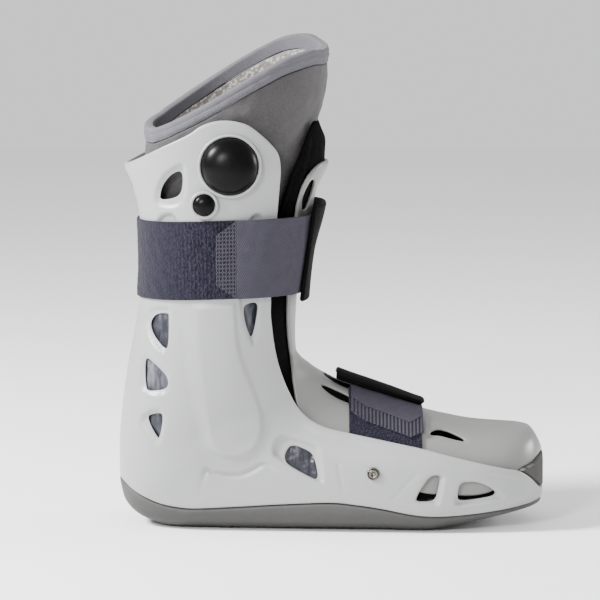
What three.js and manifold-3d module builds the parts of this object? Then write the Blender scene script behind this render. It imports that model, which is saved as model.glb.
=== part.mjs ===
// A short walking boot: a stiff plastic shell on a rubber rocker sole, with a soft liner, a front panel held by
// two hook-and-loop straps, and an inflation bulb with a release button on the right side.
// Millimetres, +X to the toe, +Y to the left, +Z up. The origin is on the floor under the shaft, in the middle plane.
import * as THREE from "three";
import { mergeVertices } from "three/addons/utils/BufferGeometryUtils.js";
import Module from "manifold-3d";

// Overall sizes. The tables below are shares of these.
const bootLength = 297;
const shellHeight = 285;
const calfWidth = 124;
const ballWidth = 112;

// Walls, layers and clearances, from the outside in
const gap = 0.3;
const shellWall = 3;
const panelGap = 2.4;
const panelWall = 3;
const padThickness = 4;
const padSideThickness = 3;
const airCellThickness = 5;
const linerClearSide = 12;
const linerClearRear = 10.5;
const linerClearFront = 12;
const linerThickness = 6;
const bindingWidth = 11;
const bindingThickness = 1.2;
const solePlate = 3.5;
const footbedThickness = 6;
const toeGuardThickness = 8;
const toeGuardOverlap = 8;

// Straps and their fittings
const strapThickness = 1.8;
const shinStrapWidth = 54;
const shinStrapTilt = 2;
const shinStrapForward = 1.5;
const shinStrapSquare = 0.6;
const hookTabLength = 14;
const hookTabChamfer = 10;
const footStrapWidth = 50;
const footTabLength = 9;
const footBandStop = 15;
const guideThickness = 3;

// Inflation bulb, release button and anchor screws
const bulbRadius = 19.4;
const bulbHeight = 13;
const bulbRingWall = 2;
const buttonRadius = 7.2;
const buttonHeight = 5;
const buttonRingWall = 2.2;
const buttonTravel = 1.5;
const ringHeight = 3;
const screwHeadRadius = 4.4;
const screwHeadHeight = 1.6;
const screwSocketRadius = 1.5;
const screwShankRadius = 1.8;

// A half width beyond every piece
const beyond = 110;

const along = (share) => share * bootLength;
const up = (share) => share * shellHeight;

// Sections of the boot from above the shaft, round the heel, to the toe. Each runs from a front point on the front
// panel to a rear point on the shell or sole. calf and ball are shares of the half widths, middle is where the
// section is widest, from rear to front, and powers say how square its rear and front halves are.
const sections = [
  { front: [0.276, 1.032], rear: [-0.236, 1.025], calf: 1.01, ball: 0, middle: 0.5, powers: [2.3, 2.3] },
  { front: [0.268, 0.891], rear: [-0.214, 0.891], calf: 0.985, ball: 0, middle: 0.5, powers: [2.3, 2.3] },
  { front: [0.241, 0.825], rear: [-0.19, 0.826], calf: 0.96, ball: 0, middle: 0.5, powers: [2.3, 2.3] },
  { front: [0.226, 0.758], rear: [-0.176, 0.754], calf: 0.935, ball: 0, middle: 0.5, powers: [2.3, 2.3] },
  { front: [0.204, 0.667], rear: [-0.173, 0.653], calf: 0.91, ball: 0, middle: 0.5, powers: [2.3, 2.3] },
  { front: [0.193, 0.561], rear: [-0.177, 0.554], calf: 0.88, ball: 0, middle: 0.5, powers: [2.3, 2.3] },
  { front: [0.189, 0.474], rear: [-0.19, 0.474], calf: 0.855, ball: 0, middle: 0.5, powers: [2.3, 2.3] },
  { front: [0.191, 0.428], rear: [-0.205, 0.393], calf: 0.845, ball: 0, middle: 0.5, powers: [2.4, 2.3] },
  { front: [0.202, 0.408], rear: [-0.219, 0.288], calf: 0.83, ball: 0, middle: 0.5, powers: [2.5, 2.3] },
  { front: [0.22, 0.393], rear: [-0.226, 0.196], calf: 0.6, ball: 0.23, middle: 0.49, powers: [2.6, 2.3] },
  { front: [0.242, 0.377], rear: [-0.226, 0.126], calf: 0.4, ball: 0.42, middle: 0.48, powers: [2.8, 2.3] },
  { front: [0.266, 0.368], rear: [-0.217, 0.07], calf: 0.2, ball: 0.63, middle: 0.47, powers: [3, 2.3] },
  { front: [0.29, 0.358], rear: [-0.192, 0.033], calf: 0, ball: 0.84, middle: 0.46, powers: [3.2, 2.3] },
  { front: [0.313, 0.349], rear: [-0.152, 0.011], calf: 0, ball: 0.84, middle: 0.45, powers: [3.5, 2.3] },
  { front: [0.337, 0.34], rear: [-0.101, -0.001], calf: 0, ball: 0.85, middle: 0.44, powers: [3.8, 2.3] },
  { front: [0.397, 0.316], rear: [0.084, -0.002], calf: 0, ball: 0.895, middle: 0.42, powers: [4.2, 2.3] },
  { front: [0.491, 0.277], rear: [0.354, -0.001], calf: 0, ball: 0.975, middle: 0.42, powers: [4.5, 2.5] },
  { front: [0.552, 0.261], rear: [0.481, -0.004], calf: 0, ball: 1, middle: 0.42, powers: [4.5, 2.6] },
  { front: [0.613, 0.249], rear: [0.579, 0.01], calf: 0, ball: 0.985, middle: 0.42, powers: [4.2, 2.7] },
  { front: [0.67, 0.244], rear: [0.66, 0.027], calf: 0, ball: 0.93, middle: 0.42, powers: [4, 2.8] },
  { front: [0.71, 0.242], rear: [0.714, 0.039], calf: 0, ball: 0.83, middle: 0.43, powers: [3.8, 2.8] },
  { front: [0.739, 0.237], rear: [0.747, 0.047], calf: 0, ball: 0.68, middle: 0.44, powers: [3.6, 2.8] },
  { front: [0.76, 0.212], rear: [0.766, 0.057], calf: 0, ball: 0.49, middle: 0.46, powers: [3.4, 2.8] },
  { front: [0.773, 0.175], rear: [0.773, 0.086], calf: 0, ball: 0.25, middle: 0.5, powers: [3, 2.8] },
];

// Outlines in side view, as shares [along, up]
const shellTop = [
  [-0.253, 0.868], [-0.202, 0.891], [-0.121, 0.933], [-0.057, 0.965], [-0.027, 0.986], [0.007, 0.998],
  [0.044, 0.999], [0.081, 0.989], [0.111, 0.967], [0.138, 0.94], [0.153, 0.916], [0.158, 0.881],
  [0.155, 0.832], [0.15, 0.765], [0.136, 0.565], [0.139, 0.491], [0.149, 0.425], [0.163, 0.375],
  [0.177, 0.339], [0.195, 0.305], [0.222, 0.276], [0.259, 0.256], [0.316, 0.242], [0.394, 0.226],
  [0.485, 0.207], [0.545, 0.191], [0.623, 0.171], [0.68, 0.157], [0.712, 0.149], [0.739, 0.13],
  [0.761, 0.106], [0.771, 0.098], [0.825, 0.096],
];
const soleLine = [
  [-0.286, 0.154], [-0.242, 0.13], [-0.215, 0.111], [-0.192, 0.094], [-0.16, 0.077], [-0.128, 0.065],
  [-0.094, 0.058], [-0.047, 0.055], [0.051, 0.061], [0.148, 0.068], [0.269, 0.074], [0.337, 0.068],
  [0.394, 0.059], [0.451, 0.047], [0.502, 0.041], [0.566, 0.042], [0.643, 0.049], [0.721, 0.06],
  [0.761, 0.069], [0.825, 0.084],
];
const panelEdge = [
  [0.3, 0.893], [0.257, 0.891], [0.232, 0.873], [0.21, 0.839], [0.196, 0.795], [0.191, 0.758],
  [0.18, 0.667], [0.173, 0.561], [0.175, 0.472], [0.182, 0.404], [0.186, 0.352], [0.195, 0.295],
  [0.215, 0.253], [0.259, 0.225], [0.316, 0.211], [0.394, 0.193], [0.485, 0.175], [0.545, 0.16],
  [0.623, 0.14], [0.684, 0.133], [0.712, 0.149], [0.741, 0.161], [0.77, 0.18], [0.825, 0.196],
];
const padEdge = [
  [0.3, 0.998], [0.241, 0.998], [0.21, 0.934], [0.196, 0.898], [0.179, 0.853], [0.161, 0.798],
  [0.148, 0.755], [0.128, 0.667], [0.118, 0.561], [0.118, 0.474], [0.131, 0.386], [0.162, 0.309],
  [0.209, 0.239], [0.316, 0.196], [0.438, 0.175], [0.606, 0.147], [0.626, 0.3],
];
const airCellEdge = [
  [-0.15, 0.84], [0.1, 0.84], [0.108, 0.561], [0.11, 0.474], [0.12, 0.386], [0.15, 0.29], [0.21, 0.22],
  [0.28, 0.2], [0.285, 0.115], [-0.1, 0.115], [-0.16, 0.2], [-0.165, 0.4],
];
const rimLine = [
  [-0.24, 0.982], [-0.158, 0.986], [-0.125, 1], [-0.071, 1.032], [0, 1.074], [0.074, 1.119],
  [0.148, 1.158], [0.185, 1.172], [0.232, 1.181], [0.263, 1.174], [0.34, 1.158],
];

// Windows through both sides of the shell, and slots through the front panel
const shellWindows = [
  [[-0.127, 0.811], [-0.12, 0.84], [-0.102, 0.865], [-0.084, 0.877], [-0.072, 0.876], [-0.07, 0.851],
    [-0.076, 0.821], [-0.095, 0.81], [-0.123, 0.805]],
  [[-0.152, 0.504], [-0.146, 0.521], [-0.133, 0.531], [-0.11, 0.533], [-0.105, 0.527], [-0.105, 0.451],
    [-0.115, 0.447], [-0.133, 0.464], [-0.146, 0.482]],
  [[-0.163, 0.417], [-0.157, 0.423], [-0.106, 0.38], [-0.106, 0.35], [-0.152, 0.342], [-0.164, 0.35]],
  [[-0.158, 0.28], [-0.148, 0.286], [-0.124, 0.291], [-0.119, 0.285], [-0.122, 0.253], [-0.129, 0.226],
    [-0.134, 0.231], [-0.15, 0.257]],
  [[0.071, 0.548], [0.08, 0.558], [0.103, 0.561], [0.105, 0.546], [0.096, 0.491], [0.09, 0.474],
    [0.083, 0.487], [0.074, 0.517]],
  [[0.163, 0.183], [0.17, 0.204], [0.184, 0.216], [0.221, 0.2], [0.232, 0.189], [0.242, 0.144],
    [0.239, 0.131], [0.232, 0.132], [0.171, 0.166]],
  [[0.468, 0.086], [0.485, 0.119], [0.502, 0.142], [0.519, 0.145], [0.525, 0.138], [0.516, 0.087],
    [0.504, 0.079], [0.472, 0.08]],
  [[0.565, 0.091], [0.569, 0.119], [0.579, 0.128], [0.615, 0.127], [0.65, 0.107], [0.655, 0.097],
    [0.646, 0.089], [0.57, 0.079]],
];
const panelSlots = [
  [[0.243, 0.384], [0.29, 0.367], [0.33, 0.346], [0.33, 0.336], [0.29, 0.351]],
  [[0.246, 0.353], [0.277, 0.34], [0.318, 0.32], [0.337, 0.305], [0.316, 0.308], [0.277, 0.325]],
  [[0.503, 0.24], [0.522, 0.247], [0.549, 0.24], [0.592, 0.22], [0.557, 0.221], [0.526, 0.231], [0.506, 0.234]],
  [[0.235, 0.853], [0.218, 0.825], [0.209, 0.796], [0.212, 0.768], [0.225, 0.803], [0.234, 0.833]],
];

// Places of the fittings in side view, as shares
const shinStrapEnd = along(0.008);
const footStrapRear = along(0.32);
const bulbPlace = { x: along(0.04), z: up(0.892) };
const screwPlace = { x: along(0.37), z: up(0.147) };

// The button sits behind and below the bulb, clear of its ring, and the strap runs just below the button
const bulbRingRadius = bulbRadius + gap + bulbRingWall;
const buttonRingRadius = buttonRadius + gap + buttonRingWall;
const buttonAngle = THREE.MathUtils.degToRad(-123.3);
const buttonDistance = bulbRingRadius + buttonRingRadius + gap;
const buttonPlace = {
  x: bulbPlace.x + buttonDistance * Math.cos(buttonAngle),
  z: bulbPlace.z + buttonDistance * Math.sin(buttonAngle),
};
const strapToButton = 1.5;
const shinStrapHeight = buttonPlace.z - buttonRingRadius - strapToButton - shinStrapWidth / 2;

const wasm = await Module();
wasm.setup();

// A closed geometry as a solid for joining and cutting
function solidOf(geometry) {
  const bare = geometry.index ? geometry.toNonIndexed() : geometry.clone();
  bare.deleteAttribute("normal");
  bare.deleteAttribute("uv");
  const merged = mergeVertices(bare, 1e-4);
  return new wasm.Manifold(
    new wasm.Mesh({
      numProp: 3,
      vertProperties: merged.attributes.position.array,
      triVerts: new Uint32Array(merged.index.array),
    }),
  );
}

function geometryOf(solid) {
  const { numProp, numVert, vertProperties, triVerts } = solid.getMesh();
  const positions = new Float32Array(numVert * 3);
  for (let i = 0; i < numVert; i++) {
    positions.set(vertProperties.subarray(i * numProp, i * numProp + 3), i * 3);
  }
  const geometry = new THREE.BufferGeometry();
  geometry.setAttribute("position", new THREE.BufferAttribute(positions, 3));
  geometry.setIndex(new THREE.BufferAttribute(triVerts, 1));
  geometry.computeVertexNormals();
  return geometry;
}

// One ring of points round a section, drawn in from it by inset.side, inset.front and inset.rear. inset.square is
// how much squarer its front half is, if at all. The points are
// spaced evenly along the outline, from the rear over the right side to the front and back over the left.
function ringOf(section, inset) {
  const rear = new THREE.Vector3(along(section.rear[0]), 0, up(section.rear[1]));
  const front = new THREE.Vector3(along(section.front[0]), 0, up(section.front[1]));
  const direction = front.clone().sub(rear);
  const depth = direction.length();
  direction.normalize();
  const halfWidth = (section.calf * calfWidth + section.ball * ballWidth) / 2 - inset.side;
  const middle = depth * section.middle;
  const rearDepth = middle - inset.rear;
  const frontDepth = depth - middle - inset.front;
  const fine = 160;
  const pointsPerSide = 10;
  const outline = [];
  const lengths = [0];
  for (let i = 0; i <= fine; i++) {
    const angle = (Math.PI * i) / fine;
    const isRear = i * 2 < fine;
    const [rearPower, frontPower] = section.powers;
    const power = 2 / (isRear ? rearPower : frontPower + (inset.square ?? 0));
    const reach = Math.abs(Math.cos(angle)) ** power * (isRear ? -rearDepth : frontDepth);
    outline.push([middle + reach, halfWidth * Math.sin(angle) ** power]);
    if (i > 0) {
      const [a, b] = [outline[i - 1], outline[i]];
      lengths.push(lengths[i - 1] + Math.hypot(a[0] - b[0], a[1] - b[1]));
    }
  }
  const half = [];
  for (let k = 0, i = 0; k <= pointsPerSide; k++) {
    const wanted = (lengths[fine] * k) / pointsPerSide;
    while (i < fine - 1 && lengths[i + 1] < wanted) i++;
    const share = THREE.MathUtils.clamp((wanted - lengths[i]) / (lengths[i + 1] - lengths[i]), 0, 1);
    half.push([
      THREE.MathUtils.lerp(outline[i][0], outline[i + 1][0], share),
      THREE.MathUtils.lerp(outline[i][1], outline[i + 1][1], share),
    ]);
  }
  const place = ([reach, side], sign) => rear.clone().addScaledVector(direction, reach).setY(sign * side);
  return [
    ...half.map((point) => place(point, -1)),
    ...half.slice(1, -1).reverse().map((point) => place(point, 1)),
  ];
}

// A closed solid through rings of points, with a fan at each end
function loftThrough(rings) {
  const count = rings[0].length;
  const positions = [];
  const push = (...points) => points.forEach((p) => positions.push(p.x, p.y, p.z));
  const centreOf = (ring) => ring.reduce((sum, p) => sum.add(p), new THREE.Vector3()).divideScalar(count);
  for (let i = 0; i + 1 < rings.length; i++) {
    for (let k = 0; k < count; k++) {
      const next = (k + 1) % count;
      const [a, b, c, d] = [rings[i][k], rings[i][next], rings[i + 1][next], rings[i + 1][k]];
      push(a, c, b, a, d, c);
    }
  }
  const [first, last] = [rings[0], rings[rings.length - 1]];
  const [firstCentre, lastCentre] = [centreOf(first), centreOf(last)];
  for (let k = 0; k < count; k++) {
    const next = (k + 1) % count;
    push(firstCentre, first[k], first[next], lastCentre, last[next], last[k]);
  }
  const geometry = new THREE.BufferGeometry();
  geometry.setAttribute("position", new THREE.Float32BufferAttribute(positions, 3));
  return solidOf(geometry);
}

// The boot's own form, drawn in by the insets, from one section to another
const evenly = (inset) => ({ side: inset, front: inset, rear: inset });
function form(inset, from = 0, to = sections.length - 1) {
  return loftThrough(sections.slice(from, to + 1).map((section) => ringOf(section, inset)));
}

// A prism across the whole width whose side view is the outline, in millimetres
function prism(outline, near = -beyond, far = beyond) {
  const shape = new THREE.Shape(outline.map(([x, z]) => new THREE.Vector2(x, z)));
  const geometry = new THREE.ExtrudeGeometry(shape, { depth: far - near, bevelEnabled: false });
  return solidOf(geometry.rotateX(Math.PI / 2).translate(0, far, 0));
}

// Outline points of a table in millimetres, raised by a height
const drawn = (table, raise = 0) => table.map(([x, z]) => [along(x), up(z) + raise]);

// What lies above or below a line in side view
const above = (line) => prism([...line, [line[line.length - 1][0], beyond * 5], [line[0][0], beyond * 5]]);
const below = (line) => prism([...line, [line[line.length - 1][0], 0], [line[0][0], 0]]);

const ahead = bootLength;
const mouthStart = along(0.716);
const guardStart = mouthStart - toeGuardOverlap;
const floorLine = drawn(soleLine, solePlate);
const footbedTop = drawn(soleLine, solePlate + gap + footbedThickness);
const panelInset = shellWall + panelGap;
const padInset = panelInset + panelWall + gap;

const shellForm = form({ side: 0, front: -panelInset, rear: 0 });
const nearShell = form({ side: -gap, front: -panelInset - gap, rear: -gap });

function outsole() {
  return form({ side: 0, front: 0, rear: 0 }).intersect(below(drawn(soleLine, -gap)));
}

function baseShell() {
  const hollow = form({ side: shellWall, front: shellWall - panelInset, rear: shellWall }).intersect(above(floorLine));
  const edge = prism([...drawn(shellTop), ...drawn(soleLine).reverse()]);
  const windows = shellWindows.map((window) => prism(drawn(window)));
  const open = windows.reduce((solid, window) => solid.subtract(window), shellForm.intersect(edge).subtract(hollow));
  const shankHole = prism(circle(screwPlace, screwShankRadius + gap));
  return open.subtract(shankHole);
}

function circle({ x, z }, radius, sides = 16) {
  return Array.from({ length: sides }, (_, i) => {
    const angle = (2 * Math.PI * i) / sides;
    return [x + radius * Math.cos(angle), z + radius * Math.sin(angle)];
  });
}

function frontPanel() {
  const outer = form({ side: panelInset, front: 0, rear: panelInset });
  const inner = form({ side: panelInset + panelWall, front: panelWall, rear: panelInset + panelWall });
  const edge = prism([...drawn(panelEdge), [ahead, up(panelEdge[0][1])]]);
  const slots = panelSlots.map((slot) => prism(drawn(slot)));
  return slots.reduce((solid, slot) => solid.subtract(slot), outer.subtract(inner).intersect(edge));
}

// The space inside the pad, drawn in further by a clearance
function insidePad(clearance) {
  return form({
    side: padInset + padSideThickness + clearance,
    front: panelWall + gap + padThickness + clearance,
    rear: padInset + padThickness + clearance,
  });
}

function frontPad() {
  const outer = form({ side: padInset, front: panelWall + gap, rear: padInset });
  return outer.subtract(insidePad(0)).intersect(prism([...drawn(padEdge), [ahead, up(padEdge[0][1])]]));
}

// The bladders between shell and liner, one on each side
function airCell(side) {
  const outer = form(evenly(shellWall + gap));
  const inner = form(evenly(shellWall + gap + airCellThickness));
  const edge = drawn(airCellEdge);
  const half = side < 0 ? prism(edge, -beyond, -gap * 10) : prism(edge, gap * 10, beyond);
  return outer.subtract(inner).intersect(half).intersect(above(drawn(soleLine, solePlate + gap)));
}

// The liner's sections above the shell, as shares, ordered as the boot's sections are
const linerTop = [
  { front: [0.264, 1.26], rear: [-0.12, 1.26], calf: 0.87, ball: 0, middle: 0.5, powers: [2.2, 2.2] },
  { front: [0.266, 1.15], rear: [-0.135, 1.15], calf: 0.88, ball: 0, middle: 0.5, powers: [2.2, 2.2] },
  { front: [0.261, 1.08], rear: [-0.15, 1.08], calf: 0.89, ball: 0, middle: 0.5, powers: [2.2, 2.2] },
  { front: [0.246, 1.01], rear: [-0.163, 1.01], calf: 0.89, ball: 0, middle: 0.5, powers: [2.2, 2.2] },
];

function linerForm(inset) {
  const low = sections.filter((_, i) => i > 1 && i % 2 === 0).map((section) => ringOf(section, {
    side: linerClearSide + inset,
    front: linerClearFront + inset,
    rear: linerClearRear + inset,
  }));
  return loftThrough([...linerTop.map((section) => ringOf(section, evenly(inset))), ...low]);
}

// The rim's line leans, so the left side stands higher than the right
const rimLean = 0.13;
function belowRim(drop) {
  const lean = new THREE.Matrix4().set(1, 0, 0, 0, 0, 1, 0, 0, 0, rimLean, 1, 0, 0, 0, 0, 1);
  const line = drawn(rimLine, -drop);
  const shape = new THREE.Shape(
    [...line, [line[line.length - 1][0], 0], [line[0][0], 0]].map(([x, z]) => new THREE.Vector2(x, z)),
  );
  const geometry = new THREE.ExtrudeGeometry(shape, { depth: 2 * beyond, bevelEnabled: false });
  return solidOf(geometry.rotateX(Math.PI / 2).translate(0, beyond, 0).applyMatrix4(lean));
}

const linerToe = along(0.47);
const linerReach = prism([[-ahead, 0], [linerToe, 0], [linerToe, beyond * 5], [-ahead, beyond * 5]]);
const linerOuter = linerForm(0);
const linerHollow = linerForm(linerThickness);

function liner() {
  const body = linerOuter.intersect(above(drawn(soleLine, solePlate + 2 * gap + footbedThickness)));
  const hollow = linerHollow.intersect(
    above(drawn(soleLine, solePlate + 2 * gap + footbedThickness + linerThickness)),
  );
  const underPad = prism([...drawn(padEdge), [ahead, up(padEdge[0][1])]]).subtract(insidePad(gap));
  return body.subtract(hollow).intersect(linerReach).intersect(belowRim(bindingWidth + gap)).subtract(underPad);
}

function linerBinding() {
  const band = linerForm(-bindingThickness).subtract(linerForm(linerThickness + bindingThickness));
  return band.intersect(belowRim(0)).subtract(belowRim(bindingWidth));
}

function footbed() {
  const inside = form(evenly(padInset + padThickness + gap));
  const bed = inside.intersect(above(drawn(soleLine, solePlate + gap))).intersect(below(footbedTop));
  return bed.intersect(prism([[-ahead, 0], [guardStart - gap, 0], [guardStart - gap, ahead], [-ahead, ahead]]));
}

// The guard across the toe fills the space between the shell's edge and the panel's, with a flange inside both
function toeGuard() {
  const flangeInset = padInset + gap;
  const isMouth = ([x]) => x > mouthStart;
  const mouth = prism([
    [mouthStart, up(0.15)],
    ...drawn(shellTop, gap).filter(isMouth),
    ...drawn(panelEdge, -gap).filter(isMouth).reverse(),
  ]);
  const [low, high] = [up(0.1), up(0.2)];
  const flange = prism([[guardStart, low], [ahead, low], [ahead, high], [guardStart, high]]);
  return form(evenly(0)).intersect(mouth)
    .add(form(evenly(flangeInset)).intersect(flange))
    .subtract(form(evenly(flangeInset + toeGuardThickness)));
}

// A stretch of the shin strap's course in side view, between two places along the boot
function shinCourse(from, to, width = shinStrapWidth) {
  const slope = Math.tan(THREE.MathUtils.degToRad(shinStrapTilt));
  const height = (x) => shinStrapHeight + x * slope;
  const half = width / 2;
  return [[from, height(from) - half], [to, height(to) - half], [to, height(to) + half], [from, height(from) + half]];
}

// A layer wrapped round the shaft outside the shell, at a depth. Its front is squarer than the boot's, so it clears
// the shell's edges and lies close to the front panel.
function shaftLayer(depth, thickness, forward) {
  const inset = (out) => ({ side: -out, front: -out - forward, rear: -out, square: shinStrapSquare });
  return form(inset(depth + thickness), 1, 7).subtract(form(inset(depth), 1, 7));
}

const layer = strapThickness + gap;
const loopBandEnd = along(0.08);

function shinLoopBand() {
  return shaftLayer(gap, strapThickness, 0).intersect(prism(shinCourse(-ahead, loopBandEnd)));
}

// The closing strap starts at the hook tab on the right, goes round the front and is sewn to the loop band
function shinClosureStrap() {
  const band = shaftLayer(gap + layer, strapThickness, shinStrapForward);
  const right = prism(shinCourse(shinStrapEnd + hookTabLength + gap, ahead), -beyond, 0);
  const left = prism(shinCourse(shinStrapEnd + hookTabLength, ahead), 0, beyond);
  return band.intersect(right.add(left));
}

function shinHookTab() {
  const [start, end] = [shinStrapEnd, shinStrapEnd + hookTabLength];
  const course = shinCourse(start, end);
  const [low, high] = [course[0][1], course[3][1]];
  const outline = [
    [start, low + hookTabChamfer], [end, course[1][1]], [end, course[2][1]], [start, high - hookTabChamfer],
  ];
  return shaftLayer(gap + layer, strapThickness, shinStrapForward).intersect(prism(outline, -beyond, 0));
}

const shinGuideFoot = along(0.205);
const shinGuideTop = along(0.235);
const shinGuideWidth = 66;

function shinStrapGuide() {
  const [low, lowAhead, highAhead, high] = shinCourse(shinGuideFoot, ahead, shinGuideWidth);
  const plate = shaftLayer(gap + 2 * layer, guideThickness, shinStrapForward);
  return plate.intersect(prism([low, lowAhead, highAhead, [shinGuideTop, high[1]]]));
}

// A layer laid over the front panel across the foot
function footLayer(depth, thickness) {
  const inset = (out) => ({ side: panelInset - out, front: -out, rear: panelInset - out });
  return form(inset(depth + thickness), 11, 19).subtract(form(inset(depth), 11, 19));
}

const footStrapFront = footStrapRear + footStrapWidth;

// Heights of the foot strap's tab at its rear and front edges, as shares
const footTab = { rear: 0.292, heel: 0.27, toe: 0.232, front: 0.245 };
const footBandFoot = up(0.14);
const footBandRise = 6;
const footBandOffset = 1.5;

// A loop band runs from inside the shell's edge up the panel's side, and stops short of the middle
function footBand(side) {
  const [rear, front] = [footStrapRear - footBandOffset, footStrapFront - footBandOffset];
  const outline = [
    [rear, footBandFoot + footBandRise], [front, footBandFoot], [front, shellHeight], [rear, shellHeight],
  ];
  const half = side < 0 ? prism(outline, -beyond, -footBandStop) : prism(outline, footBandStop, beyond);
  return footLayer(gap, strapThickness).intersect(half);
}

// The lower end of the foot strap in side view, raised for the line where the tab is welded on
function footTabLine(raise) {
  return [
    [footStrapRear, up(footTab.rear) + raise],
    [footStrapRear + footTabLength, up(footTab.heel) + raise],
    [footStrapFront - footTabLength, up(footTab.toe) + raise],
    [footStrapFront, up(footTab.front) + raise],
  ];
}

function footClosureStrap() {
  const right = prism([...footTabLine(footTabLength + gap), [footStrapFront, up(0.5)], [footStrapRear, up(0.5)]]);
  return footLayer(gap + layer, strapThickness).intersect(right);
}

function footHookTab() {
  const outline = [...footTabLine(0), ...footTabLine(footTabLength).reverse()];
  return footLayer(gap + layer, strapThickness).intersect(prism(outline, -beyond, 0));
}

function footStrapGuide() {
  const outline = [
    [along(0.286), up(0.352)], [along(0.325), up(0.333)], [along(0.485), up(0.286)], [along(0.491), up(0.285)],
    [along(0.525), up(0.32)], [along(0.525), up(0.5)], [along(0.286), up(0.5)],
  ];
  return footLayer(gap + 2 * layer, guideThickness).intersect(prism(outline));
}

// How far out the shell's right side comes within a radius of a place
function sideOf(place, radius) {
  return shellForm.intersect(prism(circle(place, radius), -beyond, 0)).boundingBox().min[1];
}

// A turned piece whose axis points out of the right side. The profile is [radius, height] from the axis outwards.
function turned(profile, { x, z }, y, sides = 20) {
  const points = profile.map(([radius, height]) => new THREE.Vector2(radius, height));
  const geometry = new THREE.LatheGeometry(points, sides);
  return solidOf(geometry.rotateX(Math.PI).translate(x, y, z));
}

const bulbSeat = sideOf(bulbPlace, bulbRadius);
const buttonSeat = sideOf(buttonPlace, buttonRadius);
const screwSeat = sideOf(screwPlace, screwHeadRadius);
const sunk = 8;

// A dome on a short wall, from a foot below its seat
function domeProfile(radius, foot, wall, height, steps) {
  const arc = Array.from({ length: steps + 1 }, (_, i) => {
    const angle = (Math.PI / 2) * (i / steps);
    return [radius * Math.cos(angle), wall + (height - wall) * Math.sin(angle)];
  });
  arc[steps][0] = 0;
  return [[0, foot], [radius, foot], ...arc];
}

// A ring with a rounded lip round a dome
function ringProfile(inner, outer, foot, height) {
  return [
    [inner, foot], [outer, foot], [outer, height * 0.6], [outer - 0.25 * (outer - inner), height * 0.9],
    [(inner + outer) / 2, height], [inner, height * 0.8], [inner, foot],
  ];
}

function inflationBulb() {
  return turned(domeProfile(bulbRadius, -sunk, 1.5, bulbHeight, 5), bulbPlace, bulbSeat).subtract(nearShell);
}

function bulbRing() {
  return turned(ringProfile(bulbRadius + gap, bulbRingRadius, -sunk, ringHeight), bulbPlace, bulbSeat)
    .subtract(nearShell);
}

function releaseButton() {
  const foot = buttonTravel + gap;
  return turned(domeProfile(buttonRadius, foot, foot + 1.2, foot + buttonHeight, 4), buttonPlace, buttonSeat, 16);
}

function buttonRing() {
  return turned(ringProfile(buttonRadius + gap, buttonRingRadius, -sunk, ringHeight + 1), buttonPlace, buttonSeat, 16)
    .subtract(nearShell);
}

function anchorScrew(side) {
  const top = screwHeadHeight + gap;
  const head = turned([[0, -sunk], [screwHeadRadius, -sunk], [screwHeadRadius, top - 0.8],
    [screwHeadRadius - 0.8, top], [0, top]], screwPlace, screwSeat, 16);
  const shank = turned([[0, -shellWall - 1], [screwShankRadius, -shellWall - 1], [screwShankRadius, gap + 0.6],
    [0, gap + 0.6]], screwPlace, screwSeat, 12);
  const socket = turned([[0, gap + 0.6], [screwSocketRadius, gap + 0.6], [screwSocketRadius, top + 1],
    [0, top + 1]], screwPlace, screwSeat, 6);
  const screw = head.subtract(nearShell).add(shank).subtract(socket);
  return side < 0 ? screw : screw.mirror([0, 1, 0]);
}

// Finishes, by slot
const finish = (color, roughness, metalness = 0) => new THREE.MeshStandardMaterial({ color, roughness, metalness });
const shellPlastic = finish(0xd4d6d8, 0.35);
const panelPlastic = finish(0xcfcfcb, 0.4);
const soleRubber = finish(0x7b7b7a, 0.7);
const linerFabric = finish(0x8a8386, 0.95);
const bindingFabric = finish(0x8f8c98, 0.9);
const airFilm = finish(0x7c8090, 0.25);
const blackFoam = finish(0x101012, 0.85);
const loopFabric = finish(0x4f4a5c, 0.95);
const wovenFabric = finish(0x6c6776, 0.8);
const blackRubber = finish(0x17161a, 0.35);
const guardFoam = finish(0x77736f, 0.85);
const bedFoam = finish(0x55504b, 0.9);
const steel = finish(0xb8b4ac, 0.25, 1);

const boot = new THREE.Group();
function add(name, solid, material) {
  const mesh = new THREE.Mesh(geometryOf(solid), material);
  mesh.name = name;
  boot.add(mesh);
}

add("outsole", outsole(), soleRubber);
add("base_shell", baseShell(), shellPlastic);
add("front_panel", frontPanel(), panelPlastic);
add("front_pad", frontPad(), blackFoam);
add("liner", liner(), linerFabric);
add("liner_binding", linerBinding(), bindingFabric);
add("footbed", footbed(), bedFoam);
add("toe_guard", toeGuard(), guardFoam);
add("shin_loop_band", shinLoopBand(), loopFabric);
add("shin_closure_strap", shinClosureStrap(), wovenFabric);
add("shin_hook_tab", shinHookTab(), wovenFabric);
add("shin_strap_guide", shinStrapGuide(), blackFoam);
add("foot_closure_strap", footClosureStrap(), wovenFabric);
add("foot_hook_tab", footHookTab(), wovenFabric);
add("foot_strap_guide", footStrapGuide(), blackFoam);
add("inflation_bulb", inflationBulb(), blackRubber);
add("bulb_ring", bulbRing(), shellPlastic);
add("release_button", releaseButton(), blackRubber);
add("button_ring", buttonRing(), shellPlastic);
for (const [name, side] of [["right", -1], ["left", 1]]) {
  add(`air_cell_${name}`, airCell(side), airFilm);
  add(`foot_loop_band_${name}`, footBand(side), loopFabric);
  add(`anchor_screw_${name}`, anchorScrew(side), steel);
}

export default boot;
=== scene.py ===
"""Looks of a short walking boot: a satin plastic shell and front panel, a rocker sole, a soft liner,
webbing straps and an inflation bulb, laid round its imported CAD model. Metres, +X to the toe, +Y to the
left, +Z up."""

import math

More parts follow.
